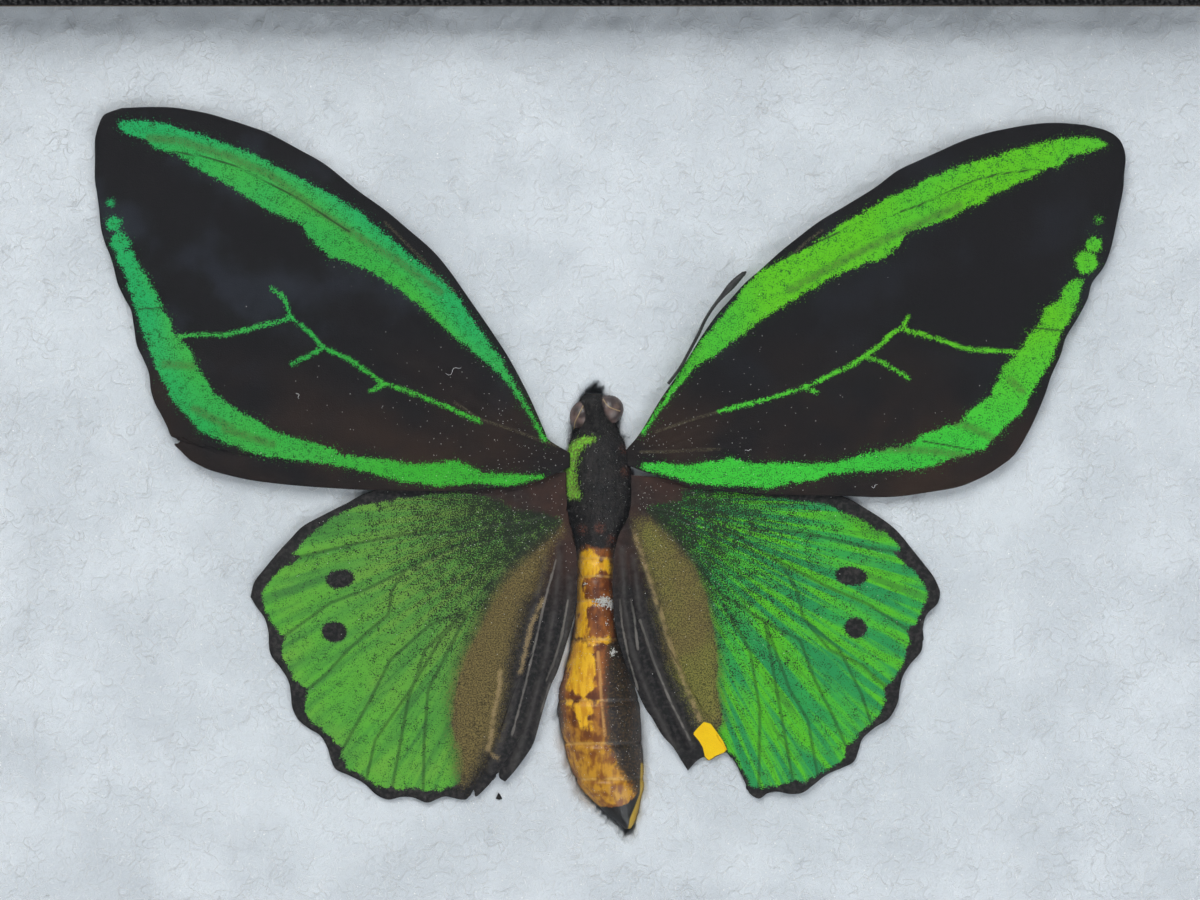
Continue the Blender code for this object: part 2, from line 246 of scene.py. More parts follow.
def swept_lid():
    """Carry the profile round the case: each point rides a rounded rectangle as far in as it lies."""
    profile = lid_profile()
    rings = []
    for inward, height, raw in profile:
        radius = max(CORNER_ROUND - inward, 0.0002)
        half = (lid_high - lid_low)[:2] / 2.0 - inward
        ring = rounded_rectangle(half[0], half[1], radius, 130, 5)
        rings.append(np.column_stack([ring, np.full(len(ring), height)]))
    points = np.stack(rings)
    raw = np.repeat(profile[:, 2][:, None], points.shape[1], axis=1)
    sway = np.sin(points[..., 0] * 61.0) + np.sin(points[..., 1] * 83.0 + 1.0)
    height = points[..., 2]
    side = (raw == 0) & (height < lid_high[2] - 0.0001) & (height > lid_low[2] + 0.0001)
    points[..., 2] += PAPER_SWAY * sway * side
    return points, raw


lid_paper = Finish("black lid paper with raw cut", Roughness=0.4)
# The lid paper's black has a painted highlight on each pebble's top and painted shade between the pebbles.
lid_black, lid_relief = pebbled(lid_paper, (0.018, 0.018, 0.020))
scuff = lid_paper.noise(0.015, 5.0)
cut = lid_paper.attribute("raw").rise(0.35, 0.65)
pulp = lid_paper.noise(0.0006, 4.0, (1.0, 1.0, 4.0))
board = lid_paper.mix(pulp, (0.16, 0.11, 0.075), (0.30, 0.22, 0.15))
lid_paper.feed("Base Color", lid_paper.mix(cut, lid_black, board))
lid_paper.feed("Roughness", 0.28 + scuff * 0.2 + cut * 0.45)
lid_paper.bump(lid_relief + cut * pulp, 0.00025)
lid_points, lid_raw = swept_lid()
lid = surface("lid", lid_points, lid_paper, (True, True), {"raw": lid_raw})
lid.data.flip_normals()
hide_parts("case_lid")

# The lid pins: short steel pins pushed through the lid's sides into the tray.
# Drawn wire with a stamped flat head, so each keeps its solid.

steel = Finish("bright pin steel", Metallic=1.0, Roughness=0.28)
drawn = steel.noise(0.0004, 3.0, (4.0, 1.0, 1.0))
steel.feed("Base Color", steel.mix(drawn, (0.46, 0.46, 0.47), (0.66, 0.66, 0.66)))
steel.feed("Roughness", 0.2 + drawn * 0.2)
for side in ("front", "back", "left", "right"):
    dress("lid_pin_" + side, steel)

# The window: one cut sheet of plain glass, taped in under the lid's border.
# It casts no shadow here, so that the lamps reach the specimen through it.

glass = Finish("clear window glass", Transmission_Weight=1.0, IOR=1.45, Roughness=0.0,
               Base_Color=(0.985, 1.0, 0.995, 1.0))
dress("glass_pane", glass)
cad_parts["glass_pane"].visible_shadow = False

# The wadding: a sheet of matted white fibre that fills the tray and presses the specimen up to
# the glass. Its top is lumpy, and hollow under the body. Loose curled fibres lie all over it.

PIXEL = 0.1340 / 1031.0
AXIS_X = 605.0
AXIS_Y = 534.6
pad_low, pad_high = [np.array(corner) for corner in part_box("batting_pad")]
PAD_CELL = 0.0007
TROUGH_DEPTH = 0.0085
SOFT_DIP = 0.0004
LUMPS = [(0.00012, 0.016, 11, 14), (0.00007, 0.004, 12, 14), (0.00004, 0.0017, 13, 20)]


def pairs(*numbers):
    """Points from their numbers in turn: across, down, across, down."""
    return list(zip(numbers[0::2], numbers[1::2]))


BODY_LINE = pairs(594,393, 594,412, 597,445, 598,480, 599,520, 597,560, 597,610, 598,660, 599,715, 604,760,
    611,795, 628,831)
BODY_HALF_WIDTH = [8, 20, 26, 37, 34, 22, 21, 31, 43, 40, 32, 6]


def on_plan(points):
    """Points of the photograph as metres in the case's X and Y."""
    grid = np.asarray(points, dtype=float)
    return np.stack([(grid[..., 0] - AXIS_X) * PIXEL, (AXIS_Y - grid[..., 1]) * PIXEL], axis=-1)


def in_pixels(plan):
    """Metres in the case's X and Y as points of the photograph."""
    return np.stack([plan[..., 0] / PIXEL + AXIS_X, AXIS_Y - plan[..., 1] / PIXEL], axis=-1)


def lumps(x, y, size, seed, waves):
    """Smooth unit noise: a sum of waves of like length in directions drawn from the seed."""
    draw = np.random.default_rng(seed)
    total = np.zeros(np.broadcast(x, y).shape)
    for turn, phase, pitch in zip(draw.uniform(0, 2 * math.pi, waves), draw.uniform(0, 2 * math.pi, waves),
                                  draw.uniform(0.6, 1.5, waves)):
        k = 2.0 * math.pi / (size * pitch)
        total += np.sin(k * (x * math.cos(turn) + y * math.sin(turn)) + phase)
    return total / math.sqrt(waves / 2.0)


def pad_height(plan):
    """The wadding's top: lumps of three sizes, less a trough that follows the body's line."""
    x, y = plan[..., 0], plan[..., 1]
    pixels = in_pixels(plan)
    line = np.array(BODY_LINE, dtype=float)
    row = np.clip(pixels[..., 1], line[0, 1], line[-1, 1])
    centre = np.interp(row, line[:, 1], line[:, 0])
    half = np.interp(row, line[:, 1], BODY_HALF_WIDTH) + 1.0
    past = np.abs(pixels[..., 1] - row)
    off = np.sqrt((pixels[..., 0] - centre) ** 2 + past ** 2) / half
    trough = TROUGH_DEPTH * np.clip(1.0 - off ** 2.0, 0.0, 1.0) ** 0.5
    soft = SOFT_DIP * np.exp(-np.clip(off - 1.0, 0.0, None) ** 2 / 0.1)
    fluff = sum(height * lumps(x, y, size, seed, waves) for height, size, seed, waves in LUMPS)
    top = pad_high[2] - 0.00035 + fluff
    return np.minimum(top, pad_high[2] + 0.0001) - np.maximum(trough, soft)


def pad_points():
    """The top as a grid, turned down over its rim to the tray's floor, and closed below."""
    size = pad_high - pad_low
    count = [int(size[k] / PAD_CELL) for k in range(2)]
    x = np.linspace(pad_low[0], pad_high[0], count[0])
    y = np.linspace(pad_low[1], pad_high[1], count[1])
    plan = np.stack(np.meshgrid(x, y, indexing="ij"), axis=-1)
    top = np.concatenate([plan, pad_height(plan)[..., None]], axis=-1)
    below = top[:, [0, -1]]
    below[..., 2] = pad_low[2]
    wide = np.concatenate([below[:, :1], top, below[:, 1:]], axis=1)
    ends = wide[[0, -1]]
    ends[..., 2] = pad_low[2]
    return np.concatenate([ends[:1], wide, ends[1:]], axis=0)


wool = Finish("white wadding", Roughness=0.95, Sheen_Weight=0.3)
felt = wool.noise(0.0011, 6.0)
cloud = wool.noise(0.011, 4.0)
strand = wool.noise(0.00018, 2.0, (1.0, 0.14, 1.0), 0.3)
for turn in (1.35, 2.4):
    strand = strand.over(wool.noise(0.00018, 2.0, (1.0, 0.14, 1.0), turn))
strand = strand.rise(0.56, 0.80)
matted = wool.mix(cloud.rise(0.35, 0.68), (0.63, 0.67, 0.72), (0.73, 0.77, 0.82))
# Painted glints: small white dots over the wadding, standing in for light catching its fibres.
painted_glint = 1.0 - wool.cells(0.0013).rise(0.045, 0.09)
combed = wool.mix(strand * 0.7, matted, (0.94, 0.96, 0.985))
wool.feed("Base Color", wool.mix(painted_glint, combed, (1.0, 1.0, 1.0)))
wool.bump(felt + strand * 0.6, 0.00022, 0.6)
pad = surface("wadding", pad_points(), wool)


def close_rims(item):
    """Close each open rim of a grid with one face."""
    work = bmesh.new()
    work.from_mesh(item.data)
    rim = [edge for edge in work.edges if edge.is_boundary]
    bmesh.ops.holes_fill(work, edges=rim, sides=0)
    bmesh.ops.recalc_face_normals(work, faces=work.faces)
    work.to_mesh(item.data)
    work.free()


close_rims(pad)
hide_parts("batting_pad")

FIBRE_RADIUS = 0.000032
FIBRE_STEPS = 11


def thin_tubes(name, middle, side, up, girth, start, outward, finish):
    """Three-sided tubes in one mesh: round each point of each middle line lie three corners, at the
    start angle and each third of a turn on, from its side way to its up way."""
    count, steps = middle.shape[:2]
    rings = np.stack([middle + girth * (math.cos(start + t) * side + math.sin(start + t) * up)
                      for t in (0.0, math.pi * 2 / 3, math.pi * 4 / 3)], axis=2)
    tube = (np.arange(count) * steps * 3)[:, None, None]
    ring = (np.arange(steps - 1) * 3)[:, None]
    a = ring + np.arange(3)
    b = ring + np.arange(1, 4) % 3
    quads = np.stack([a, a + 3, b + 3, b], axis=-1).reshape(-1, 4)
    ends = np.array([[0, 1, 2], [-1, -2, -3]]) % (steps * 3)
    if not outward:
        quads = quads[:, [0, 3, 2, 1]]
        ends = ends[:, ::-1]
    faces = (quads + tube).reshape(-1, 4).tolist() + (ends + tube).reshape(-1, 3).tolist()
    mesh = bpy.data.meshes.new(name)
    mesh.from_pydata(rings.reshape(-1, 3), [], faces)
    return finished(name, mesh, finish)


def strands(name, starts, turns, lengths, curls, lift, radius, base):
    """Many thin threads, pointed at both ends, along curling arcs over a base height."""
    s = np.linspace(0.0, 1.0, FIBRE_STEPS)
    heading = turns[:, None] + curls[:, None] * (s - 0.5) + 0.9 * np.sin(s * 9.0 + turns[:, None] * 7.0)
    step = lengths[:, None] / (FIBRE_STEPS - 1)
    x = starts[:, :1] + np.cumsum(np.cos(heading) * step, axis=1)
    y = starts[:, 1:] + np.cumsum(np.sin(heading) * step, axis=1)
    z = base(np.stack([x, y], axis=-1)) + lift[:, None] * np.sin(math.pi * s) ** 0.7
    side = np.stack([-np.sin(heading), np.cos(heading), np.zeros_like(heading)], axis=-1)
    girth = (radius * (0.15 + np.sin(math.pi * s) ** 0.5))[None, :, None]
    thin_tubes(name, np.stack([x, y, z], axis=-1), side, np.array([0.0, 0.0, 1.0]), girth,
               math.pi / 2, True, thread)


def speckled(name, size, dark, light, rise=None, detail=2.0, **constants):
    """A finish of two colours mixed by one noise, and that noise, for its relief."""
    finish = Finish(name, **constants)
    noise = finish.noise(size, detail)
    finish.feed("Base Color", finish.mix(noise.rise(*rise) if rise else noise, dark, light))
    return finish, noise


thread, _ = speckled("loose white fibre", 0.004, (0.82, 0.84, 0.87), (0.98, 0.98, 0.99),
                     Roughness=0.3, Sheen_Weight=0.2)
FIBRES = 2600
FIBRE_MARGIN = 0.004
for batch in range(3):
    draw = np.random.default_rng(40 + batch)
    low, high = pad_low + FIBRE_MARGIN, pad_high - FIBRE_MARGIN
    spots = np.column_stack([draw.uniform(low[k], high[k], FIBRES) for k in range(2)])
    strands("loose_fibres_" + str(batch + 1), spots, draw.uniform(0, 2 * math.pi, FIBRES),
            draw.uniform(0.0025, 0.0065, FIBRES), draw.normal(0.0, 2.6, FIBRES),
            draw.uniform(0.00001, 0.00009, FIBRES), FIBRE_RADIUS, pad_height)

# The wings: thin stiff membranes over a fan of hollow veins, covered in tiny scales that give
# black velvet and shining green. The forewings lie over the hindwings, and all four are pressed flat.

MEMBRANE = 0.00014
WING_ARCH = 0.0004
HALF_SPAN = 0.067
ROOT_REACH = 0.003


def smooth_through(points, count):
    """A curve of cubics through the points, which passes each one parallel to the line between its
    neighbours, read at equal steps of its length."""
    knots = np.asarray(points, dtype=float)
    held = np.concatenate([2.0 * knots[:1] - knots[1:2], knots, 2.0 * knots[-1:] - knots[-2:-1]])
    t = np.linspace(0.0, 1.0, 16, endpoint=False)[:, None]
    pieces = []
    for i in range(len(knots) - 1):
        a, b, c, d = held[i:i + 4]
        curve = 2.0 * b + (c - a) * t + (2.0 * a - 5.0 * b + 4.0 * c - d) * t ** 2
        pieces.append(0.5 * (curve + (3.0 * b - a - 3.0 * c + d) * t ** 3))
    line = np.concatenate(pieces + [knots[-1:]])
    length = np.concatenate([[0.0], np.cumsum(np.linalg.norm(np.diff(line, axis=0), axis=1))])
    wanted = np.linspace(0.0, length[-1], count)
    return np.stack([np.interp(wanted, length, line[:, k]) for k in range(line.shape[1])], axis=1)


def to_line(points, line):
    """Each point's distance to the nearest stretch of a line."""
    line = np.asarray(line, dtype=float)
    nearest = np.full(points.shape[:-1], 1e9)
    for a, b in zip(line[:-1], line[1:]):
        along = b - a
        share = np.clip(((points - a) @ along) / (along @ along + 1e-12), 0.0, 1.0)
        gap = points - a - share[..., None] * along
        nearest = np.minimum(nearest, np.sqrt((gap ** 2).sum(axis=-1)))
    return nearest


def within(points, outline):
    """Signed distance to a closed outline, positive inside."""
    ring = np.asarray(list(outline) + [outline[0]], dtype=float)
    inside = np.zeros(points.shape[:-1], dtype=bool)
    for a, b in zip(ring[:-1], ring[1:]):
        crosses = (a[1] > points[..., 1]) != (b[1] > points[..., 1])
        rise = (b[1] - a[1]) if b[1] != a[1] else 1e-12
        reach = a[0] + (points[..., 1] - a[1]) * (b[0] - a[0]) / rise
        inside ^= crosses & (points[..., 0] < reach)
    return to_line(points, ring) * np.where(inside, 1.0, -1.0)


def outline_of(edges):
    """A wing's closed outline, from its front, outer and hind edges."""
    return edges["front"] + edges["outer"][1:] + edges["hind"][::-1][1:]


def bell(distance, width):
    """1 at no distance, falling off in a bell curve of the given width."""
    return np.exp(-(distance / width) ** 2)


def nearest_of(points, lines):
    """Distance to the nearest of several lines."""
    return np.min([to_line(points, line) for line in lines], axis=0)


def sheet(edges, level, root_drop, spans, chords):
    """The patch that blends four edge curves, in pixels and metres, with the wing's low arch."""
    front = smooth_through(edges["front"], spans + 1)
    hind = smooth_through(edges["hind"], spans + 1)
    outer = smooth_through(edges["outer"], chords + 1)
    root = np.linspace(front[0], hind[0], chords + 1)
    u = np.linspace(0.0, 1.0, spans + 1)[:, None, None]
    v = np.linspace(0.0, 1.0, chords + 1)[None, :, None]
    blend = (1.0 - v) * front[:, None] + v * hind[:, None] + (1.0 - u) * root[None] + u * outer[None]
    corners = (1.0 - u) * ((1.0 - v) * front[0] + v * hind[0])
    corners = corners + u * ((1.0 - v) * front[-1] + v * hind[-1])
    pixels = blend - corners
    reach = np.linalg.norm(pixels - np.array(edges["root"]), axis=-1) * PIXEL
    height = level - root_drop * np.exp(-reach / ROOT_REACH) - WING_ARCH * (reach / HALF_SPAN) ** 2
    return pixels, height


def make_wings(kind, shapes, level, root_drop, spans, chords, fields_of, relief_of, finish):
    """The left and right wing of a kind from their patches, each given a thin thickness below."""
    for side, edges in zip(("left", "right"), shapes):
        pixels, height = sheet(edges, level, root_drop, spans, chords)
        fields = fields_of(edges, pixels)
        height = height + relief_of(edges, pixels, fields)
        points = np.concatenate([on_plan(pixels), height[..., None]], axis=-1)
        item = surface(side + "_" + kind, points, finish, (False, False), fields)
        if side == "right":
            item.data.flip_normals()
        thick = item.modifiers.new("membrane", "SOLIDIFY")
        thick.thickness = MEMBRANE
        thick.offset = -1.0
        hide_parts(side + "_" + kind)


# Forewings: black velvet with a broad green band along the front, a green band inside the outer
# and hind edges, and a green stripe along the middle vein. The left one has a torn nick.

LEFT_FOREWING = {
    "front": pairs(570,453, 549,440, 545,432, 530,398, 510,360, 490,329, 470,300, 449,270, 432,250, 409,230,
        385,210, 357,190, 326,165, 300,150, 270,134, 250,126.5, 230,120, 210,114, 190,110, 172,107.5, 150,107,
        122,108),
    "outer": pairs(122,108, 110,112, 103,116, 98,127, 95,140, 95,160, 95,180, 97,193, 99,208, 101,228,
        105,243, 110,255, 114,268, 118,284, 125,299, 131,310, 134,326, 137,345, 143,358, 149,373, 151,390,
        155,403, 161,414, 167,426, 172,437, 181,436.5, 179,443, 174,444, 181,451, 190,460),
    "hind": pairs(570,467, 545,478, 520,486, 480,489, 440,491, 370,490, 330,488, 290,485, 250,480, 220,473,
        205,468, 190,460),
    "root": (569, 462),
    "band": pairs(118,122, 130,120, 145,121, 160,123, 175,127, 190,132, 220,142, 250,153, 280,168, 310,184,
        340,200, 360,212, 380,230, 400,246, 420,263, 440,278, 460,300, 480,330, 500,358, 515,385, 530,410,
        547,440, 543,441, 530,416, 515,393, 500,374, 480,357, 460,341, 440,323, 420,306, 400,290, 380,276,
        360,267, 340,259, 330,257, 318,246, 308,235, 303,225, 290,219, 270,211, 250,198, 230,186, 210,175,
        190,164, 180,156, 168,151, 155,148, 147,141, 142,138, 130,135, 118,128),
    "margin": pairs(122,262, 128,282, 133,300, 139,318, 146,340, 155,362, 162,380, 172,400, 187,415, 200,431,
        222,441, 250,452, 280,459, 320,462, 360,470, 400,481, 440,486, 475,483, 505,486, 543,479, 543,475,
        515,475, 497,473, 482,474, 480,470, 455,460, 442,462, 420,465, 380,459, 345,456, 330,448, 300,440,
        275,432, 255,419, 230,406, 212,390, 199,370, 190,350, 173,332, 170,322, 159,300, 150,282, 138,262),
    "spots": [((114, 224), 7.0), ((120, 242), 9.5), ((126, 258), 9.0)],
    "specks": (111, 203),
    "stripe": [pairs(480,422, 450,408, 430,400, 410,392, 383,383, 350,360, 323,347, 310,333, 292,318, 280,321,
        240,331, 225,335, 190,335, 177,337), pairs(385,384, 371,391), pairs(323,348, 309,356, 292,364),
        pairs(292,318, 287,305, 282,295, 272,289)],
    "faint": [pairs(560,447, 512,430, 480,419, 455,403), pairs(385,222, 415,252, 445,283, 455,292)],
    "dark_vein": [pairs(165,151, 200,156, 230,164, 260,178, 300,200, 350,232), pairs(139,309, 160,308,
        172,306)],
    "olive": [pairs(150,138, 180,141, 230,157, 270,175, 310,205, 360,238, 400,262, 440,292), pairs(165,364,
        192,366), pairs(195,409, 232,428), pairs(225,429, 272,444)],
    "lively": 0.0,
}
RIGHT_FOREWING = {
    "front": pairs(626,450, 640,433, 660,400, 680,371, 700,339, 715,317, 728,302, 745,283, 760,270, 780,252,
        800,236, 820,221, 845,206, 875,187.5, 897,171, 920,160, 940,151, 960,142, 980,135, 1000,130, 1035,124,
        1060,123, 1085,125),
    "outer": pairs(1085,125, 1105,130, 1117,137, 1123,146, 1125.5,158, 1124,175, 1123,190, 1119,210, 1115,230,
        1110,251, 1103,268, 1092,283, 1087,300, 1077,319, 1066,337, 1060,356, 1051,376, 1045,394, 1035,418,
        1026,436, 1017,451, 1009,460),
    "hind": pairs(627,465, 645,472, 690,486, 720,491, 760,494, 800,495, 840,496, 890,497, 930,492, 958,487,
        975,480.5, 990,473, 1009,460),
    "root": (629, 460),
    "band": pairs(1107,145, 1098,139, 1085,137, 1070,138, 1050,141, 1030,146, 1010,151, 990,158, 970,163,
        950,170, 930,178, 910,189, 895,196, 880,202, 870,209, 855,217, 840,225, 825,237, 805,250, 790,256,
        770,266, 760,272, 750,282, 742,290, 735,301, 722,317, 706,335, 698,345, 690,357, 682,368, 674,382,
        664,400, 650,420, 641,434, 643,434, 654,418, 668,400, 676,389, 690,373, 700,363, 715,355, 730,343,
        745,333, 760,320, 780,308, 800,295, 815,288, 830,278, 850,270, 865,263, 885,258, 893,250, 900,243,
        905,235, 915,230, 930,225, 950,218, 965,208, 980,203, 990,196, 1005,190, 1015,184, 1025,180, 1035,175,
        1042,170, 1050,168, 1062,165, 1068,157, 1080,154, 1095,150),
    "margin": pairs(1083,280, 1080,292, 1078,303, 1068,322, 1060,332, 1055,350, 1049,365, 1042,375, 1030,395,
        1022,412, 1008,423, 992,440, 985,448, 965,455, 948,459, 940,464, 915,469, 880,470, 830,474, 815,480,
        790,483, 770,488, 720,485, 690,483, 670,476, 650,471, 641,467, 643,463, 668,464, 690,466, 699,463,
        720,461, 730,458, 740,460, 750,464, 790,463, 830,464, 850,459, 870,452, 900,446, 915,442, 920,436,
        935,431, 962,422, 966,414, 985,400, 992,396, 995,385, 1003,368, 1018,353, 1024,345, 1029,331,
        1038,328, 1043,310, 1060,300, 1066,285, 1076,279),
    "spots": [((1094, 245), 7.5), ((1086, 262), 11.0)],
    "specks": (1099, 219),
    "stripe": [pairs(720,411, 740,406, 760,401, 780,395, 800,389, 815,383, 830,375, 850,366, 862,358, 880,345,
        890,335, 900,329, 920,334, 940,340, 960,347, 975,350, 1000,351, 1022,352), pairs(803,388, 817,392),
        pairs(866,358, 880,361, 900,373, 908,378), pairs(902,328, 908,317)],
    "faint": [pairs(655,432, 700,417, 722,411), pairs(790,258, 805,243, 822,230), pairs(641,452, 662,452,
        720,449)],
    "dark_vein": [pairs(900,212, 920,205, 940,196, 960,187, 980,179, 1000,174, 1040,169), pairs(1035,328,
        1063,331), pairs(922,441, 945,445, 972,450), pairs(765,268, 800,250, 840,232)],
    "olive": [pairs(955,422, 975,429, 992,438), pairs(880,449, 920,450, 962,455), pairs(1010,380, 1022,391),
        pairs(790,290, 840,262, 900,232, 960,205)],
    "lively": 1.0,
}

FORE_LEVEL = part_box("left_forewing")[1][2]
FORE_REST = 0.00015
WAVE_HEIGHT = 0.00005
RIB_HEIGHT = 0.00007
VEIN_HEIGHT = 0.00006
FRONT_HEIGHT = 0.000072


def forewing_fields(edges, pixels):
    """What the scales' pattern reads: distances in pixels to each mark, and the wing's lay."""
    green = np.maximum(within(pixels, edges["band"]), within(pixels, edges["margin"]))
    for centre, radius in edges["spots"]:
        green = np.maximum(green, radius - np.linalg.norm(pixels - np.array(centre), axis=-1))
    fields = {mark: nearest_of(pixels, edges[mark]) for mark in ("stripe", "faint", "dark_vein", "olive")}
    fields["green"] = green
    fields["edge"] = within(pixels, outline_of(edges))
    fields["specks"] = np.linalg.norm(pixels - np.array(edges["specks"]), axis=-1)
    fields["lower"] = np.clip((pixels[..., 1] - 330.0) / 110.0, 0.0, 1.0)
    fields["lively"] = np.full(pixels.shape[:-1], edges["lively"])
    fields["out"] = np.linalg.norm(pixels - np.array(edges["root"]), axis=-1) / 520.0
    return fields


def forewing_relief(edges, pixels, fields):
    """Raised veins and the soft waves that a dried membrane keeps, in metres."""
    root = np.array(edges["root"], dtype=float)
    away = pixels - root
    angle = np.arctan2(away[..., 1], np.abs(away[..., 0]))
    waves = WAVE_HEIGHT * np.sin(angle * 46.0 + 1.0) * np.clip(fields["out"] * 2.0, 0.0, 1.0)
    ribs = RIB_HEIGHT * bell(nearest_of(pixels, edges["stripe"] + edges["faint"]), 1.6)
    veins = VEIN_HEIGHT * bell(fields["dark_vein"], 1.4)
    front = FRONT_HEIGHT * bell(fields["edge"], 5.0) * (pixels[..., 1] < 455.0)
    return waves + ribs + veins + front - FORE_REST


velvet = Finish("forewing scales", Roughness=0.6, Specular_IOR_Level=0.14)
scale_grain = velvet.noise(0.00016, 3.0)
scale_spread = velvet.noise(0.0008, 4.0)
rough_edge = (scale_grain - 0.5) * 16.0 + (scale_spread - 0.5) * 7.0
border = velvet.attribute("green")
shine = (border + rough_edge).rise(-0.5, 0.9)
shine = shine.over((scale_grain + border.over(-14.0) * 0.013).rise(0.60, 0.64) * border.rise(-14.0, -13.0))
stripe_edge = (scale_grain - 0.5) * 13.0 + (scale_spread - 0.5) * 5.0
stripe = (1.9 - velvet.attribute("stripe") + stripe_edge).rise(-0.3, 0.9)
speckle = (6.0 - velvet.attribute("specks") + (scale_grain - 0.5) * 24.0).rise(2.5, 4.0)
faint = velvet.near("faint", 0.8, 2.2) * scale_grain.rise(0.40, 0.62)
lively = velvet.attribute("lively")
outward = velvet.attribute("out")
drift = velvet.noise(0.018, 3.0)
lower = velvet.attribute("lower")
cool = velvet.lay((0.045, 0.46, 0.030), (outward.rise(0.25, 0.8), (0.016, 0.41, 0.085)),
                  (drift.rise(0.35, 0.75) * 0.6, (0.085, 0.50, 0.040)))
warm = velvet.lay((0.125, 0.58, 0.010), (lower, (0.050, 0.60, 0.045)),
                  (drift.rise(0.4, 0.8) * 0.7, (0.035, 0.50, 0.045)))
emerald = velvet.near("edge", 16.0, 46.0) * (1.0 - lively) * (1.0 - lower)
gaps = 1.0 - (scale_grain * 0.7 + scale_spread * 0.3).rise(0.36, 0.52)
olive = velvet.near("olive", 1.0, 6.5) * scale_grain.rise(0.38, 0.6)
greens = velvet.lay(cool, (lively, warm), (emerald * 0.8, (0.008, 0.42, 0.13)),
                    (gaps, (0.012, 0.11, 0.018)), (olive * 0.8, (0.085, 0.14, 0.035)),
                    (velvet.near("dark_vein", 0.5, 1.7) * 0.85, (0.02, 0.045, 0.015)))
# Painted bluish sheen in patches over the black's upper part, a painted reflection of the sky; beneath it are
# the black's own brown scales lower down, grey grains and pale faint veins.
painted_sheen = velvet.noise(0.009, 4.0).rise(0.48, 0.72) * (1.0 - lower)
black_scales_and_sheen = velvet.lay((0.0088, 0.0080, 0.0095),
                  (lower * velvet.noise(0.012, 3.0).rise(0.3, 0.7), (0.030, 0.017, 0.012)),
                  (painted_sheen * (1.0 - lively * 0.6), (0.020, 0.023, 0.032)),
                  (scale_grain.rise(0.55, 0.8) * 0.5, (0.028, 0.026, 0.03)),
                  (faint * 0.8, (0.10, 0.085, 0.05)))
marks = shine.over(stripe).over(speckle)
velvet.feed("Base Color", velvet.mix(marks, black_scales_and_sheen, greens))
velvet.feed("Roughness", 0.62 - marks * 0.17)
velvet.bump(scale_grain + scale_spread * 0.6, 0.00007, 0.7)

make_wings("forewing", (LEFT_FOREWING, RIGHT_FOREWING), FORE_LEVEL, 0.00035, 250, 150, forewing_fields,
           forewing_relief, velvet)

# Hindwings: shining green, dusted with black scales that thicken to the root, with a black edge
# that dips between the veins, two black spots and pleats from each vein. The inner part is bronze,
# and rolls up into a dark fold beside the body. The right one keeps a torn yellow corner.

LEFT_HINDWING = {
    "front": pairs(566,472, 545,474, 520,477, 480,478, 420,482, 371,491, 345,504, 325,514, 303,526, 290,539,
        278,552, 264,569, 254,582, 250,597),
    "outer": pairs(250,597, 256,607, 264,618, 268,632, 268.5,645, 271,656, 280,668, 288,681, 290.5,694,
        292,708, 298,720, 308,728.5, 320,736, 327,748, 331,761, 336,770, 349,776, 364,784, 376,795, 388,800,
        401,797.5, 413,798, 427,803, 438,799, 446,797, 461,800, 468,798, 470,786, 474,791, 476,797, 487,787,
        493,779, 500,764, 499,777, 505,782),
    "hind": pairs(567,515, 574,540, 577,560, 577,600, 573,622, 566,645, 558,670, 549,690, 541,717, 534,742,
        526,756, 514,772, 505,782),
    "root": (565, 498),
    "green": pairs(512,509, 500,500, 480,496, 450,493, 430,495, 395,500, 360,506, 335,517, 318,528, 305,540,
        293,554, 300,557, 290,564, 280,570, 272,578, 264,588, 261,598, 266,612, 271,622, 278,632, 286,636,
        281,647, 284,662, 291,676, 299,685, 308,688, 305,700, 304,711, 311,721, 318,726, 326,733, 334,743,
        343,748, 342,758, 348,769, 358,774, 366,779, 376,786, 388,788, 392,786, 397,790, 410,788, 425,791,
        440,790, 452,787, 461,780, 465,765, 462,750, 456,740, 452,725, 455,700, 460,675, 468,652, 480,630,
        492,605, 506,585, 522,566, 540,548, 556,535, 562,520, 545,512),
    "bronze": pairs(562,530, 550,545, 540,580, 522,606, 514,640, 506,670, 502,700, 496,735, 484,752, 476,768,
        464,785, 455,775, 450,740, 448,700, 458,660, 476,625, 490,595, 508,570, 530,552),
    "spots": [((340, 579), (14.5, 9.5), -0.12), ((334, 632), (13.0, 10.5), 0.1)],
    "vein": [pairs(545,515, 490,525, 440,533, 400,535, 360,543, 320,552, 285,560), pairs(540,530, 460,545,
        405,570, 365,590, 330,603, 283,637), pairs(405,570, 392,590, 388,615, 372,628, 350,648, 325,675,
        308,689), pairs(540,532, 500,575, 465,610, 430,625, 390,660, 370,700, 342,750), pairs(465,611,
        440,640, 410,690, 375,740, 366,780), pairs(465,611, 425,650, 408,700, 392,788), pairs(468,612,
        428,690, 424,740, 423,790)],
    "pale": [pairs(568,600, 562,635, 553,665, 546,681), pairs(550,683, 541,712), pairs(556,560, 545,600,
        536,640, 524,690, 512,735)],
    "tan": [pairs(543,600, 531,625, 526,650, 520,672), pairs(500,672, 499,690, 493,715, 491,740, 487,752,
        497,758)],
    "fold": [pairs(560,545, 556,600, 545,660, 528,720, 512,770), pairs(570,580, 566,630, 552,680, 535,735),
        pairs(545,560, 532,615, 520,670, 508,720, 490,770)],
    "yellow": None,
    "lively": 0.0,
}
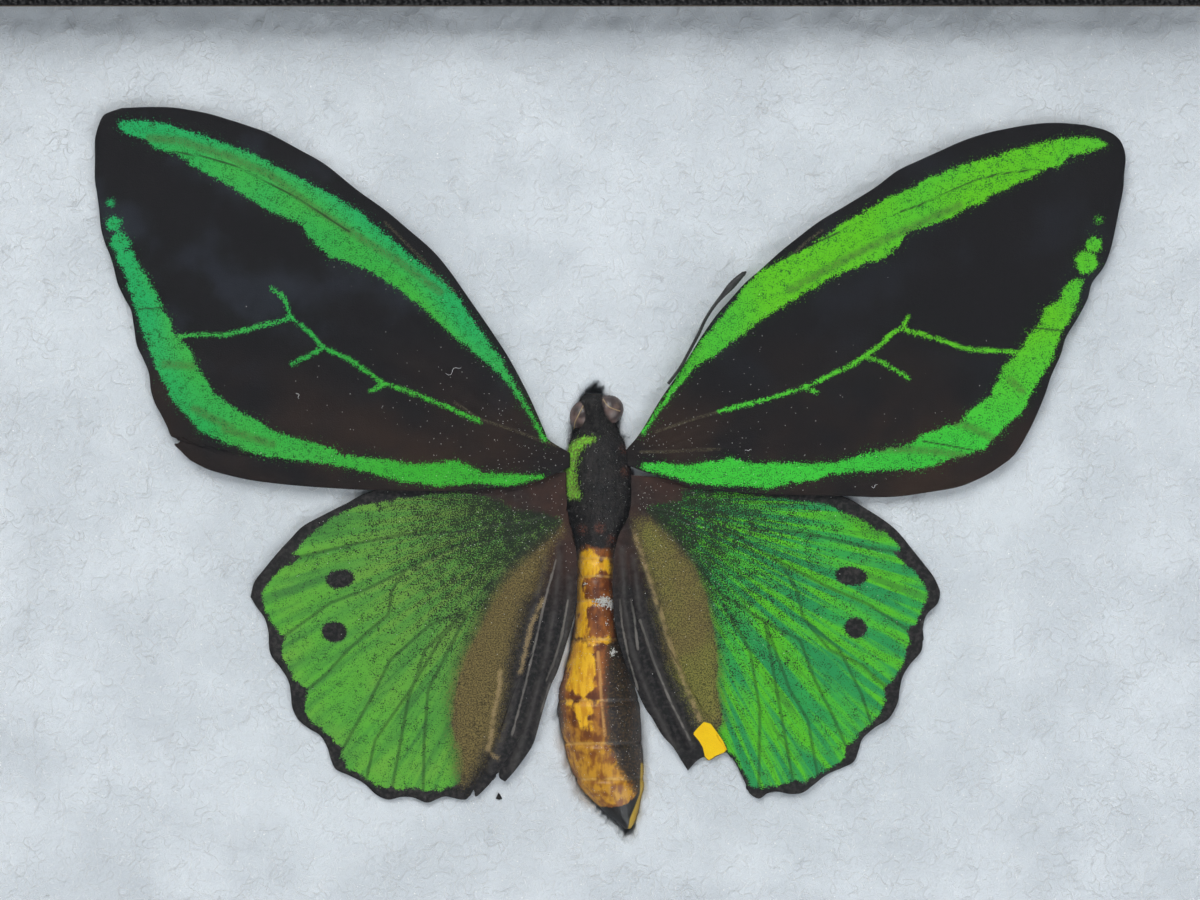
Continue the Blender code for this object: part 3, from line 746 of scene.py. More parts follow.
RIGHT_HINDWING = {
    "front": pairs(631,475, 655,477, 690,482, 740,486, 800,488, 842,496, 865,508, 888,523, 901,535, 913,550,
        925,565, 934,577, 940,590, 940,598),
    "outer": pairs(940,598, 937,605, 927,615, 923,630, 922,650, 911,664, 903,677, 900,690, 898,703, 889,719,
        875,728, 863,739, 859,750, 854,762, 842,768.5, 827,775, 814,785, 803,793, 790,794.5, 778,792,
        768,793.5, 759,799, 749,793, 748,785, 741,769, 729,753.5, 718,756, 709,761, 704,757.5, 696,762,
        688,771),
    "hind": pairs(631,515, 619,535, 614,560, 613,600, 618,640, 634,684, 645,708, 652,718, 662,735, 673,747,
        681,760, 688,771),
    "root": (632, 498),
    "green": pairs(683,490, 700,489, 730,493, 760,497, 790,499, 830,506, 860,519, 888,535, 902,550, 893,553,
        905,563, 922,581, 928,592, 924,606, 916,624, 908,629, 909,645, 903,664, 897,673, 887,687, 885,689,
        886,702, 879,716, 871,725, 862,731, 852,743, 846,745, 845,757, 835,766, 818,776, 805,782, 794,780,
        786,785, 772,786, 760,789, 752,786, 744,770, 735,756, 728,750, 718,732, 722,722, 720,705, 716,685,
        718,655, 713,625, 706,592, 694,565, 672,538, 655,524, 645,510, 660,503, 682,501),
    "bronze": pairs(636,524, 650,518, 672,538, 694,564, 707,592, 714,625, 720,660, 720,690, 724,720, 716,733,
        700,722, 688,700, 672,668, 662,630, 656,598, 645,560),
    "spots": [((851, 576), (16.5, 9.5), 0.12), ((856, 628), (11.5, 10.5), 0.3)],
    "vein": [pairs(650,505, 700,517, 745,529, 800,532, 840,541, 875,549, 905,553), pairs(655,512, 735,535,
        780,562, 830,588, 868,604, 908,630), pairs(780,562, 797,590, 803,618, 830,650, 862,665, 887,688),
        pairs(660,515, 715,590, 765,622, 800,640, 815,680, 835,720, 846,746), pairs(803,618, 840,650, 862,695,
        872,725), pairs(765,622, 790,690, 808,720, 818,776), pairs(720,600, 750,650, 760,710, 759,790),
        pairs(765,622, 775,680, 793,780)],
    "pale": [pairs(620,600, 622,625, 628,655, 638,690), pairs(631,600, 634,615, 638,650), pairs(640,620,
        655,665, 672,705, 690,740)],
    "tan": [pairs(634,532, 642,555, 650,580, 656,600, 662,615, 672,650, 688,690, 700,720)],
    "fold": [pairs(622,550, 624,600, 632,650, 650,700, 676,750), pairs(634,560, 640,610, 652,655, 672,705,
        692,745), pairs(646,570, 656,605, 668,645, 684,685)],
    "yellow": pairs(693,734, 697,729, 704,722, 711,724, 716,731, 723,741, 727,750, 724,753, 716,756, 709,761,
        705,757, 703,748, 699,741),
    "lively": 1.0,
}

HIND_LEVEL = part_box("left_hindwing")[1][2]
FAR_OUTSIDE = -100.0
HIND_REST = 0.00018
PLEAT_HEIGHT = 0.00007
VEIN_DEPTH = 0.00009
ROLL_HEIGHT = 0.0005


def hindwing_fields(edges, pixels):
    """What the scales' pattern reads: distances in pixels to each mark, and where the pleats run."""
    spot = np.full(pixels.shape[:-1], 1e9)
    for centre, size, tilt in edges["spots"]:
        away = pixels - np.array(centre)
        c, s = math.cos(tilt), math.sin(tilt)
        turned = np.stack([away[..., 0] * c + away[..., 1] * s, away[..., 1] * c - away[..., 0] * s], axis=-1)
        spot = np.minimum(spot, (np.linalg.norm(turned / np.array(size), axis=-1) - 1.0) * min(size))
    away = pixels - np.array(edges["root"], dtype=float)
    fields = {mark: nearest_of(pixels, edges[mark]) for mark in ("vein", "pale", "tan", "fold")}
    fields["green"] = within(pixels, edges["green"])
    fields["edge"] = within(pixels, outline_of(edges))
    fields["bronze"] = within(pixels, edges["bronze"])
    fields["yellow"] = np.full(pixels.shape[:-1], FAR_OUTSIDE)
    if edges["yellow"]:
        fields["yellow"] = within(pixels, edges["yellow"])
    fields["spot"] = spot
    fields["lively"] = np.full(pixels.shape[:-1], edges["lively"])
    fields["out"] = np.linalg.norm(away, axis=-1) / 340.0
    fields["angle"] = np.arctan2(away[..., 1], np.abs(away[..., 0]))
    return fields


def hindwing_relief(edges, pixels, fields):
    """Pleats that fan from the root, sunk veins, and the rolled fold beside the body."""
    beyond = np.clip((fields["out"] - 0.35) / 0.5, 0.0, 1.0)
    angle = fields["angle"]
    pleats = PLEAT_HEIGHT * np.sin(angle * 58.0 + 2.0 * np.sin(angle * 9.0)) * beyond
    veins = -VEIN_DEPTH * bell(fields["vein"], 2.4)
    rolls = ROLL_HEIGHT * bell(fields["fold"], 4.5) * np.clip((pixels[..., 1] - 520.0) / 50.0, 0.0, 1.0)
    return pleats + veins + rolls - HIND_REST


satin = Finish("hindwing scales", Roughness=0.5, Specular_IOR_Level=0.2)
fine = satin.noise(0.00016, 3.0)
coarse = satin.noise(0.0011, 4.0)
blotch = satin.noise(0.009, 3.0)
angle = satin.attribute("angle")
out = satin.attribute("out")
lively = satin.attribute("lively")
# Painted light and shade of the pleats: rays fanning from the root that make the greens lighter and darker in
# turn, and darker streaks over the outer part.
painted_pleat_light = satin.node("TexNoise", {"noise_dimensions": "2D"},
                  {"Vector": satin.node("CombineXYZ", {}, {"X": angle * 26.0, "Y": out * 2.2}),
                   "Scale": 1.0, "Detail": 3.0})
quiet = satin.lay((0.15, 0.29, 0.050), (out.rise(0.35, 0.95), (0.10, 0.43, 0.035)),
                  (blotch.rise(0.45, 0.75) * 0.6, (0.20, 0.40, 0.055)),
                  (painted_pleat_light.rise(0.40, 0.60) * 0.6, (0.065, 0.30, 0.045)))
bold = satin.lay((0.018, 0.30, 0.085), (painted_pleat_light.rise(0.40, 0.62), (0.10, 0.56, 0.012)),
                 (blotch.rise(0.45, 0.7) * 0.5, (0.035, 0.46, 0.06)))
gaps = 1.0 - (fine * 0.7 + coarse * 0.3).rise(0.36, 0.50)
painted_pleat_shade = painted_pleat_light.rise(0.56, 0.74) * out.rise(0.4, 0.8)
black_dust = 1.0 - (fine + (coarse - 0.5) * 0.35 + (out - 0.66) * 0.46).rise(0.33, 0.45)
greens = satin.lay(quiet, (lively, bold), (gaps, (0.020, 0.10, 0.015)), (painted_pleat_shade * 0.55, (0.03, 0.13, 0.035)),
                   (satin.near("vein", 0.6, 2.6) * 0.55 * out.rise(0.1, 0.5), (0.015, 0.04, 0.012)),
                   (black_dust, (0.013, 0.022, 0.010)))
rim = (satin.attribute("green") + (fine - 0.5) * 12.0 + (coarse - 0.5) * 8.0).rise(-0.6, 1.0)
spot = (satin.attribute("spot") + (fine - 0.5) * 8.0).rise(-0.6, 0.8)
gold_grain = satin.noise(0.00017, 3.0)
bronze = satin.mix(gold_grain.rise(0.35, 0.62), (0.050, 0.037, 0.012), (0.20, 0.150, 0.050))
mossy = satin.mix(gold_grain.rise(0.35, 0.62), (0.055, 0.058, 0.012), (0.23, 0.215, 0.045))
bronze = satin.mix(lively * blotch.rise(0.3, 0.6), bronze, mossy)
bronze_zone = (satin.attribute("bronze") + (coarse - 0.5) * 14.0 + (fine - 0.5) * 40.0).rise(-9.0, 10.0)
rust = (1.0 - out.rise(0.10, 0.38)) * blotch.rise(0.30, 0.6)
# Painted highlight: paler grey along the ridges of the rolled fold.
painted_fold_highlight = satin.near("fold", 0.5, 6.5) * coarse.rise(0.2, 0.6)
black = satin.lay((0.0095, 0.0088, 0.0095), (satin.noise(0.0005, 4.0).rise(0.4, 0.75), (0.042, 0.037, 0.037)),
                  (rust, satin.mix(coarse, (0.020, 0.010, 0.008), (0.075, 0.032, 0.022))),
                  (painted_fold_highlight * 0.55, (0.075, 0.068, 0.066)))
tan = (1.0 - (satin.attribute("tan") + (fine - 0.5) * 12.0).rise(0.8, 3.4)) * coarse.rise(0.25, 0.55)
pale = (1.0 - (satin.attribute("pale") + (coarse - 0.5) * 3.0).rise(0.3, 1.6)) * blotch.rise(0.25, 0.6)
straw = satin.mix(gold_grain, (0.22, 0.15, 0.06), (0.50, 0.37, 0.19))
torn_corner = satin.mix(coarse, (0.90, 0.52, 0.002), (1.0, 0.66, 0.002))
base = satin.lay(black, (bronze_zone, bronze), (rim * spot * (1.0 - bronze_zone * 0.9), greens),
                 (tan * 0.7, straw), (pale * 0.7, (0.24, 0.22, 0.20)),
                 (satin.attribute("yellow").rise(-0.3, 0.4), torn_corner))
satin.feed("Base Color", base)
satin.feed("Roughness", 0.55 - rim * 0.1)
satin.bump(fine + coarse * 0.8, 0.00007, 0.7)

make_wings("hindwing", (LEFT_HINDWING, RIGHT_HINDWING), HIND_LEVEL, 0.0002, 170, 240, hindwing_fields,
           hindwing_relief, satin)

# The body: a horny skin in rings, grown as one from head to claspers. The head and thorax are
# furred black, the abdomen is bare, orange at its left, red brown on top and dark at its right.

SECTIONS = np.array([
    (393, 585, 601, 12.0, 14.6), (400, 578, 607, 10.6, 16.2), (412, 577, 613, 9.6, 16.8),
    (424, 577, 617, 9.6, 16.8), (432, 574, 620, 9.2, 16.6), (442, 567, 627, 8.0, 17.2),
    (456, 562, 632, 7.0, 17.8), (475, 561, 635, 6.6, 18.0), (500, 562, 636, 6.6, 17.8),
    (520, 566, 632, 7.2, 17.0), (535, 572, 625, 7.8, 16.2), (548, 576, 619, 7.6, 16.0),
    (575, 576, 617, 7.2, 16.2), (602, 575, 618, 7.0, 16.6), (630, 572, 622, 6.8, 16.8),
    (660, 567, 629, 6.6, 17.0), (690, 556, 638, 6.6, 17.0), (715, 556, 642, 6.8, 17.0),
    (745, 563, 643, 7.0, 16.8), (770, 570, 645, 7.6, 16.6), (790, 580, 645, 8.4, 16.2),
    (803, 592, 642, 9.2, 15.6), (814, 603, 639, 10.4, 15.0), (823, 615, 636, 11.4, 14.6),
    (831, 625, 631, 12.4, 14.0)], dtype=float)
RING_LINES = [560, 578, 602, 641, 702, 745, 781]
ORANGE_PATCHES = [
    pairs(580,551, 590,552, 603,560, 617,566, 617,574, 601,571, 590,577, 579,578),
    pairs(575,577, 584,577, 583,599, 597,602, 597,605, 586,607, 587,636, 575,640), pairs(573,640, 611,639,
    611,643, 591,646, 595,660, 592,690, 582,697, 571,690, 567,668), pairs(564,701, 590,698, 602,700, 591,705,
    589,737, 580,726, 571,707)]
CLASPERS = pairs(590,803, 600,808, 612,808, 624,806, 634,799, 641,788, 638,806, 631,822, 628,834, 614,824,
    600,815)
VALVE = pairs(641,764, 650,770, 650,786, 646,800, 641,816, 633,830, 628,833, 630,820, 635,808, 640,795)
# A painted highlight: a thin pale line down the top of the abdomen.
DARK_FROM = pairs(548,611, 575,613, 640,612, 645,606, 700,604, 740,606, 765,616, 790,632, 831,650)
# The rows and the x past which the abdomen's right side is darker, then the rows and the x short of which its
# left side takes painted shade, where it lies in shadow.
LEFT_SHADE_TO = pairs(548,580, 575,577, 640,573, 665,566, 690,562, 720,564, 745,562, 760,560)
HIGHLIGHT_LINE = pairs(598,652, 601,690, 605,735)
BLUSHES = pairs(626,472, 625,449, 600,528, 612,540, 571,478, 582,530)


def section_at(rows):
    """The body's section at rows of the photograph: its middle and half width in pixels, then its
    middle height and half height in metres."""
    curve = smooth_through(SECTIONS, 400)
    left, right, low, high = [np.interp(rows, curve[:, 0], curve[:, k]) for k in range(1, 5)]
    return (left + right) / 2.0, (right - left) / 2.0, (high + low) / 2000.0, (high - low) / 2000.0


def body_surface(rows, around):
    """Oval sections along the body: across by the cosine and up by the sine of the way round."""
    y = np.linspace(393.5, 830.5, rows)
    centre, half, height, tall = section_at(y)
    angle = np.linspace(0.0, 2.0 * math.pi, around, endpoint=False)
    shrink = np.interp(y, [530.0, 560.0], [0.93, 0.985])
    for line in RING_LINES:
        shrink = shrink - 0.045 * bell(y - line, 2.2) + 0.012 * bell(y - line - 6.0, 5.0)
    between_eyes = 1.0 - 0.14 * bell(y - 413.0, 10.0)
    middle = on_plan(np.column_stack([centre, y]))
    x = middle[:, :1] + (half * PIXEL * shrink * between_eyes)[:, None] * np.cos(angle)
    z = height[:, None] + (tall * shrink)[:, None] * np.sin(angle)
    return np.stack([x, np.repeat(middle[:, 1:], around, axis=1), z], axis=-1)


def closed_tube(name, rings, finish, field_maker=None):
    """A surface round an axis whose two ends are drawn in to a point."""
    ends = [np.repeat(ring.mean(axis=0)[None], len(ring), axis=0) for ring in (rings[0], rings[-1])]
    first = ends[0] + (rings[0] - ends[0]) * 0.02
    last = ends[1] + (rings[-1] - ends[1]) * 0.02
    points = np.concatenate([first[None], rings, last[None]])
    item = surface(name, points, finish, (False, True), field_maker and field_maker(points))
    close_rims(item)
    return item


def body_fields(points):
    """Distances in pixels to each patch of the body's colour, to its painted highlight and to its painted
    shade, read in plan.
    """
    pixels = in_pixels(points[..., :2])
    row = pixels[..., 1]
    bow = 3.0 * np.cos(np.linspace(0.0, 2.0 * math.pi, points.shape[1], endpoint=False)) ** 2
    return {
        "orange": np.max([within(pixels, patch) for patch in ORANGE_PATCHES], axis=0),
        "dark": np.maximum(pixels[..., 0] - np.interp(row, *np.array(DARK_FROM, dtype=float).T),
                           np.interp(row, *np.array(LEFT_SHADE_TO, dtype=float).T) - pixels[..., 0]),
        "ring": np.min([np.abs(row - line + 2.0 - bow) for line in RING_LINES], axis=0),
        "row": row,
        "claspers": within(pixels, CLASPERS),
        "valve": within(pixels, VALVE),
        "painted_highlight": to_line(pixels, HIGHLIGHT_LINE),
        "blush": np.min([np.linalg.norm(pixels - np.array(spot), axis=-1) for spot in BLUSHES], axis=0),
    }


amber = Finish("body skin", Roughness=0.34)
row = amber.attribute("row")
mottle = amber.noise(0.0016, 4.0)
specks = amber.noise(0.0003, 3.0)
streaky = amber.noise(0.0006, 3.0, (1.0, 0.35, 1.0))
orange = amber.mix(streaky.rise(0.35, 0.6), (0.68, 0.30, 0.006), (0.90, 0.50, 0.014))
brown = amber.mix((mottle * 0.6 + streaky * 0.4).rise(0.38, 0.62), (0.11, 0.025, 0.006), (0.34, 0.105, 0.016))
tip = amber.mix((mottle * 0.5 + streaky * 0.5).rise(0.40, 0.60), (0.26, 0.080, 0.006), (0.62, 0.30, 0.014))
dark = amber.mix(specks.rise(0.4, 0.7), (0.012, 0.009, 0.008), (0.085, 0.047, 0.020))
patches = amber.attribute("orange") + (mottle - 0.5) * 20.0 + (streaky - 0.5) * 10.0
# Darker down the abdomen's right side, and painted shade down its left side.
darker_sides = amber.attribute("dark") + (specks - 0.5) * 16.0 + (mottle - 0.5) * 10.0
claspers = amber.attribute("claspers") + (specks - 0.5) * 4.0
valve = amber.mix(mottle, (0.45, 0.26, 0.012), (0.66, 0.46, 0.05))
# Over the skin's own colours lie a painted highlight down the abdomen's top and painted shade down its left
# side.
skin = amber.lay(brown, ((row + (mottle - 0.5) * 60.0).rise(700.0, 765.0), tip),
                 (patches.rise(-2.0, 2.0), orange),
                 (amber.near("ring", 0.5, 1.9) * mottle.rise(0.3, 0.6) * 0.6, (0.78, 0.46, 0.10)),
                 (amber.near("painted_highlight", 0.7, 2.6) * 0.55, (0.78, 0.42, 0.12)),
                 (darker_sides.rise(-4.0, 6.0), dark), (claspers.rise(-0.8, 0.8), (0.009, 0.008, 0.008)),
                 (amber.attribute("valve").rise(-0.8, 0.8), valve))
furred = 1.0 - (row + (mottle - 0.5) * 22.0).rise(545.0, 552.0)
under_fur = amber.mix(streaky.rise(0.35, 0.75), (0.006, 0.0055, 0.006), (0.026, 0.021, 0.020))
blush = amber.near("blush", 2.0, 8.0) * specks.rise(0.4, 0.6)
under_fur = amber.mix(blush, under_fur, (0.17, 0.055, 0.035))
amber.feed("Base Color", amber.mix(furred, skin, under_fur))
amber.feed("Roughness", 0.28 + specks * 0.25 + furred * 0.35)
amber.feed("Coat Weight", (1.0 - furred) * 0.22)
amber.bump(mottle + specks * 0.5 + streaky * 0.5, 0.00014, 0.7)
trunk = closed_tube("body_skin", body_surface(700, 72), amber, body_fields)
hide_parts("body")

soot, tuft = speckled("black skin", 0.0006, (0.006, 0.0055, 0.006), (0.028, 0.024, 0.022),
                      (0.35, 0.75), 4.0, Roughness=0.6, Specular_IOR_Level=0.3)
soot.bump(tuft, 0.0002)

# Eyes: two brown-grey domes of tiny facets at the sides of the head, each with a tan inner rim.

EYE_RADIUS = 0.00195
eye_skin, _ = speckled("faceted eye", 0.0012, (0.050, 0.034, 0.033), (0.18, 0.118, 0.105),
                       (0.35, 0.7), 3.0, Roughness=0.25, Coat_Weight=0.5)
eye_skin.bump(eye_skin.cells(0.00006), 0.00002, 0.5)


def dome(name, centre, radii, finish, rows=40, around=56):
    """A ball stretched to three radii: rings by latitude, points by longitude."""
    lat = np.linspace(-math.pi / 2 + 0.03, math.pi / 2 - 0.03, rows)[:, None]
    lon = np.linspace(0.0, 2.0 * math.pi, around, endpoint=False)[None]
    ball = np.stack([np.cos(lat) * np.cos(lon), np.cos(lat) * np.sin(lon), np.sin(lat) + 0.0 * lon], axis=-1)
    return closed_tube(name, np.array(centre) + ball * np.array(radii), finish)


EYES = {"left": ((582.5, 415.0), 0.0138), "right": ((610.0, 409.0), 0.0141)}
EYE_RIMS = {"left": [(584, 404), (579, 414), (575, 422), (574, 429)],
            "right": [(603, 399), (608, 406), (614, 409), (620, 411)]}
for side, (middle, height) in EYES.items():
    dome(side + "_eye", (*on_plan(middle), height), (EYE_RADIUS,) * 3, eye_skin)

chitin_tan, _ = speckled("tan rim", 0.0004, (0.30, 0.20, 0.10), (0.50, 0.37, 0.20), Roughness=0.6)


def rod_along(name, path, radii, finish, around=10):
    """A round tube carried along a path, its section square to the way it runs."""
    path = np.asarray(path, dtype=float)
    ahead = np.gradient(path, axis=0)
    ahead /= np.linalg.norm(ahead, axis=1, keepdims=True)
    side = np.cross(ahead, np.array([0.0, 0.0, 1.0]))
    side /= np.linalg.norm(side, axis=1, keepdims=True) + 1e-12
    up = np.cross(side, ahead)
    turn = np.linspace(0.0, 2.0 * math.pi, around, endpoint=False)
    girth = np.asarray(radii)[:, None, None]
    rings = path[:, None] + girth * (np.cos(turn)[None, :, None] * side[:, None]
                                     + np.sin(turn)[None, :, None] * up[:, None])
    return closed_tube(name, rings, finish)


for side, rim in EYE_RIMS.items():
    middle, height = EYES[side]
    line = smooth_through(on_plan(rim), 20)
    away = np.linalg.norm(line - on_plan(middle), axis=1)
    lift = height + np.sqrt(np.clip(EYE_RADIUS ** 2 - away ** 2, 0.0, None)) + 0.00002
    rod_along(side + "_eye_rim", np.column_stack([line, lift]), np.full(20, 0.00007), chitin_tan)

# Fur: stiff black hairs that stand off the head, the neck and the thorax and lean back to the
# tail, with a stroke of green scales along the thorax's left side.

HAIR_STEPS = 4


def fur(name, roots, out, lean, lengths, radius, finish):
    """Pointed three-sided hairs: each leaves along its outward way and bends to its lean."""
    s = np.linspace(0.0, 1.0, HAIR_STEPS)[None, :, None]
    reach = lengths[:, None, None]
    middle = roots[:, None] + reach * (out[:, None] * s * 0.75 + lean[:, None] * s ** 2 * 0.7)
    side = np.cross(out, lean + 1e-4)
    side /= np.linalg.norm(side, axis=1, keepdims=True) + 1e-9
    other = np.cross(side, out)
    thin_tubes(name, middle, side[:, None], other[:, None], radius * (1.0 - 0.92 * s), 0.0, False,
               finish)


def on_body(count, first, last, seed, low, high, shrink=0.93):
    """Places on the body's upper skin, with the way out of it at each."""
    draw = np.random.default_rng(seed)
    y = draw.uniform(first, last, count)
    centre, half, height, tall = section_at(y)
    angle = math.pi * draw.uniform(low, high, count)
    half = half * PIXEL * shrink
    tall = tall * shrink
    middle = on_plan(np.column_stack([centre, y]))
    roots = np.column_stack([middle + np.outer(half * np.cos(angle), (1, 0)), height + tall * np.sin(angle)])
    out = np.column_stack([np.cos(angle) / half, np.zeros(count), np.sin(angle) / tall])
    out /= np.linalg.norm(out, axis=1, keepdims=True)
    return roots, out, draw


hair, _ = speckled("black hair", 0.0005, (0.008, 0.0075, 0.008), (0.11, 0.092, 0.085), (0.45, 0.7),
                   Roughness=0.36, Specular_IOR_Level=0.35)


def coat(name, count, first, last, spread, lengths, radius, seed):
    """Hairs over a stretch of the body, kept off the eyes, and shorter on the head."""
    roots, out, draw = on_body(count, first, last, seed, spread[0], spread[1])
    lean = np.column_stack([draw.normal(*way, count) for way in ((0, 0.28), (-0.7, 0.28), (-0.1, 0.16))])
    pixels = in_pixels(roots[:, :2])
    long = draw.uniform(*lengths, count) * np.interp(pixels[:, 1], [393.0, 440.0], [0.6, 1.0])
    keep = np.ones(count, dtype=bool)
    for middle, _ in EYES.values():
        outer = np.abs(pixels[:, 0] - 596.0) > np.abs(middle[0] - 596.0) - 3.0
        keep &= ~(outer & (np.linalg.norm(pixels - np.array(middle), axis=1) < 14.0))
    fur(name, roots[keep], out[keep] * 0.5, lean[keep], long[keep], radius, hair)


coat("body_fur", 6400, 395, 551, (-0.08, 1.08), (0.0004, 0.0011), 0.000032, 71)
coat("head_fur", 1300, 393, 432, (0.0, 1.0), (0.0004, 0.0009), 0.000034, 72)

leaf, _ = speckled("green thorax scales", 0.00035, (0.24, 0.38, 0.05), (0.34, 0.90, 0.06), (0.4, 0.6), 3.0,
                   Roughness=0.45)
STRIPE_SCALES = 2600
STRIPE = smooth_through(pairs(590,438, 581,441, 574,450, 570,463, 570,478, 574,496), 60)


def on_top(pixels, limit, rise):
    """Places on the body's back over points of the photograph, and how far each is to the side."""
    centre, half, height, tall = section_at(pixels[:, 1])
    share = np.clip((pixels[:, 0] - centre) / half, -limit, limit)
    return np.column_stack([on_plan(pixels), height + tall * rise * np.sqrt(1.0 - share ** 2)]), share


draw = np.random.default_rng(73)
pick = draw.integers(0, 60, STRIPE_SCALES)
stripe_px = STRIPE[pick] + draw.normal(0.0, 1.0, (STRIPE_SCALES, 2)) * np.array([3.4, 1.6])
stripe_roots, share = on_top(stripe_px, 0.99, 0.95)
level = np.zeros(STRIPE_SCALES)
stripe_out = np.column_stack([share * 0.4, level, np.sqrt(1.0 - share ** 2) * 0.5])
stripe_lean = np.column_stack([draw.normal(way, 0.2, STRIPE_SCALES) for way in (0, -0.9)] + [level])
fur("green_stripe", stripe_roots, stripe_out, stripe_lean, draw.uniform(0.0004, 0.0007, STRIPE_SCALES),
    0.00005, leaf)

# Legs: six thin black legs folded under the thorax, in the wadding's hollow.

LEG_ROOTS = [450, 472, 495]
LEG_REACH = [24, 27, 22]
FOOT_SHIFT = [58, 62, 64]
for pair in range(3):
    for sign, side in ((-1, "left"), (1, "right")):
        hip = (*on_plan((598 + sign * 9.0, LEG_ROOTS[pair])), 0.0085)
        knee = (*on_plan((598 + sign * LEG_REACH[pair], LEG_ROOTS[pair] + 8.0)), 0.0066)
        foot = (*on_plan((598 + sign * (6.0 + 3.0 * pair), LEG_ROOTS[pair] + FOOT_SHIFT[pair])), 0.0058)
        path = smooth_through([hip, knee, foot], 24)
        rod_along("leg_" + side + "_" + str(pair + 1), path, np.linspace(0.00032, 0.00016, 24), soot)

# The antenna: a ringed black whip with a thick hooked club, off the head and lying along the
# front edge of the right forewing.

antenna_low, antenna_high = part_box("right_antenna")
ANTENNA = pairs(668,384, 680,368, 690,350, 698,335, 705,320, 714,306, 724,294, 733,284, 741,276, 746,272)
whip, whip_grain = speckled("antenna skin", 0.0003, (0.008, 0.0075, 0.008), (0.02, 0.018, 0.018),
                            detail=3.0, Roughness=0.4)
whip.bump(whip_grain, 0.00005)
count = 150
path = smooth_through(on_plan(ANTENNA), count)
s = np.linspace(0.0, 1.0, count)
swell = 0.00021 + 0.00026 * bell(s - 0.86, 0.11)
swell = swell * (1.0 + 0.06 * np.sin(s * 260.0)) * np.clip((1.0 - s) / 0.03 + 0.25, 0.0, 1.0)
middle_z = (antenna_low[2] + antenna_high[2]) / 2.0
path = np.column_stack([path, np.full(count, middle_z)])
antenna = rod_along("antenna", path, swell, whip)
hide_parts("right_antenna")

# Loose bits under the glass: pale dust on the wings and body, a crust of white crumbs on the
# abdomen, lint on the forewings and a chip of black wing on the wadding.


def grains(name, places, sizes, finish, seed):
    """Small uneven eight-sided crumbs, one at each place."""
    draw = np.random.default_rng(seed)
    corners = np.array([(1, 0, 0), (0, 1, 0), (-1, 0, 0), (0, -1, 0), (0, 0, 1), (0, 0, -1)], dtype=float)
    shape = corners[None] * draw.uniform(0.5, 1.0, (len(places), 6, 1)) * sizes[:, None, None]
    points = places[:, None] + shape
    faces = np.array([(0, 1, 4), (1, 2, 4), (2, 3, 4), (3, 0, 4), (1, 0, 5), (2, 1, 5), (3, 2, 5), (0, 3, 5)])
    faces = (faces[None] + (np.arange(len(places)) * 6)[:, None, None]).reshape(-1, 3)
    mesh = bpy.data.meshes.new(name)
    mesh.from_pydata(points.reshape(-1, 3), [], faces)
    return finished(name, mesh, finish)


chalk, _ = speckled("pale dust", 0.0003, (0.45, 0.43, 0.40), (0.78, 0.78, 0.76), Roughness=0.9)
draw = np.random.default_rng(90)
dust_px = np.concatenate([
    np.column_stack([draw.normal(600, 180, 900), draw.normal(480, 100, 900)]),
    np.column_stack([draw.normal(600, 70, 900), draw.normal(500, 60, 900)])])
fore, hind = [np.max([within(dust_px, outline_of(edges)) for edges in pair], axis=0)
              for pair in ((LEFT_FOREWING, RIGHT_FOREWING), (LEFT_HINDWING, RIGHT_HINDWING))]
keep = np.maximum(fore, hind) > 3
from_root = np.linalg.norm(dust_px - np.array([600, 480]), axis=1) * PIXEL
dust_z = np.where(fore > 2, FORE_LEVEL, HIND_LEVEL) - 0.0001 - WING_ARCH * (from_root / HALF_SPAN) ** 2
dust_places = np.column_stack([on_plan(dust_px), dust_z])[keep]
grains("dust", dust_places, draw.uniform(0.00003, 0.00009, keep.sum()), chalk, 91)

crumbs = [((603, 602), 8.0, 5.0, 150), ((611, 606), 4.0, 4.0, 70), ((616, 619), 1.6, 5.0, 26),
          ((613, 652), 3.0, 4.0, 34), ((576, 602), 1.6, 2.4, 14), ((586, 584), 2.4, 1.2, 10),
          ((607, 624), 2.0, 3.0, 8)]
places = []
for (x, y), wide, tall, amount in crumbs:
    places.append(np.column_stack([draw.normal(x, wide / 2.0, amount), draw.normal(y, tall / 2.0, amount)]))
places = np.concatenate(places)
crumb_places, _ = on_top(places, 0.98, 0.99)
grains("white_crumbs", crumb_places, draw.uniform(0.00008, 0.0002, len(places)), chalk, 92)
roots, _, draw = on_body(700, 430, 800, 93, 0.1, 0.9, 1.0)
grains("body_dust", roots, draw.uniform(0.00003, 0.00008, 700), chalk, 94)


def on_wings(plan):
    """The level just over the forewings."""
    return np.full(plan.shape[:-1], FORE_LEVEL + 0.00005)


lint_at = on_plan([(443, 373), (300, 400), (745, 452), (870, 486)])
strands("lint", lint_at, np.array([0.5, 1.9, 0.2, 0.4]), np.array([0.0029, 0.0012, 0.0011, 0.0012]),
        np.array([0.5, 1.0, -1.2, 1.5]), np.full(4, 0.00006), 0.00003, on_wings)

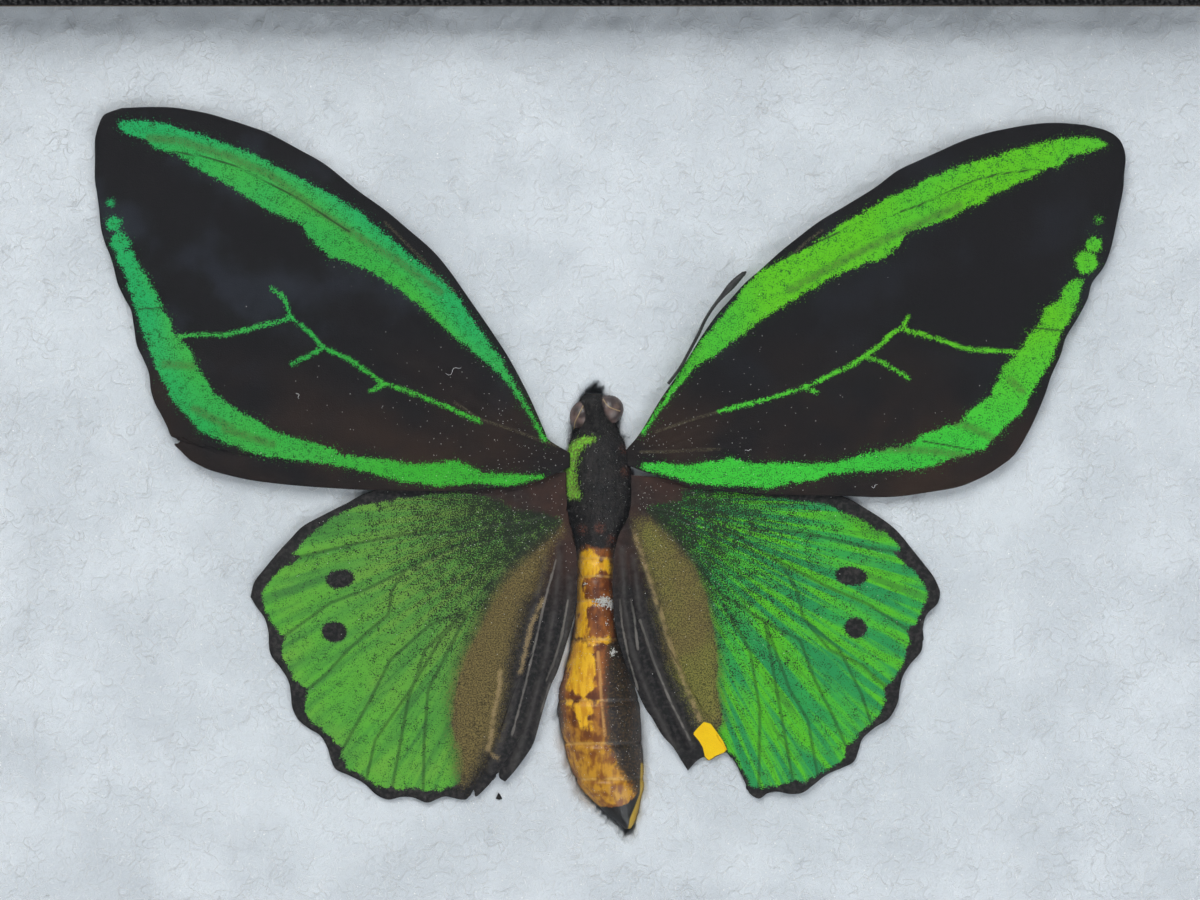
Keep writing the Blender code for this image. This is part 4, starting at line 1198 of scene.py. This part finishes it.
CHIP = pairs(498,793.5, 500,795.5, 502,799.5, 499,800.5, 495.5,799.5, 497,796)
chip_plan = on_plan(CHIP)
corners = len(CHIP)
chip_points = np.concatenate([np.column_stack([chip_plan, pad_height(chip_plan) + lift])
                              for lift in (0.00018, 0.00006)])
chip_faces = [tuple(range(corners)), tuple(range(2 * corners - 1, corners - 1, -1))]
for i in range(corners):
    following = (i + 1) % corners
    chip_faces.append((i, i + corners, following + corners, following))
chip_mesh = bpy.data.meshes.new("wing_chip")
chip_mesh.from_pydata(chip_points.tolist(), [], chip_faces)
finished("wing_chip", chip_mesh, soot)

# The studio: a pale table under the case, one large soft lamp beyond the case's far side, a weak
# one opposite and a dim even sky. The camera looks straight down from half a metre.

floor_finish, _ = speckled("pale table", 0.3, (0.60, 0.60, 0.59), (0.64, 0.64, 0.63), Roughness=0.8)
bpy.ops.mesh.primitive_plane_add(size=4.0, location=(0.0, 0.0, -0.0005))
floor = bpy.context.active_object
floor.name = "table"
floor.data.materials.append(floor_finish.material)


def lamp(name, place, size, power, colour):
    """A square soft lamp that faces the middle of the case."""
    data = bpy.data.lights.new(name, "AREA")
    data.shape = "SQUARE"
    data.size = size
    data.energy = power
    data.color = colour
    item = bpy.data.objects.new(name, data)
    bpy.context.scene.collection.objects.link(item)
    item.location = place
    way = -np.array(place) / np.linalg.norm(place)
    item.rotation_euler = (math.acos(-way[2]), 0.0, math.atan2(way[1], way[0]) - math.pi / 2.0)


lamp("key", (-0.25, 0.70, 0.95), 0.7, 5.2, (1.0, 0.99, 0.975))
lamp("fill", (0.4, -0.7, 0.8), 0.9, 4.6, (0.95, 0.97, 1.0))
sky = bpy.data.worlds.new("dim sky")
sky.use_nodes = True
sky.node_tree.nodes["Background"].inputs["Color"].default_value = (0.75, 0.85, 1.0, 1.0)
sky.node_tree.nodes["Background"].inputs["Strength"].default_value = 0.09
bpy.context.scene.world = sky
bpy.context.scene.view_settings.view_transform = "Standard"

VIEW_WIDTH = 1200.0 * PIXEL
VIEW_HEIGHT_ABOVE = 0.500
SENSOR = 36.0
camera_data = bpy.data.cameras.new("camera")
camera_data.sensor_width = SENSOR
camera_data.lens = SENSOR * VIEW_HEIGHT_ABOVE / VIEW_WIDTH
camera_data.clip_start = 0.01
camera = bpy.data.objects.new("camera", camera_data)
bpy.context.scene.collection.objects.link(camera)
camera.location = (*on_plan((600.0, 450.0)), FORE_LEVEL + VIEW_HEIGHT_ABOVE)
bpy.context.scene.camera = camera
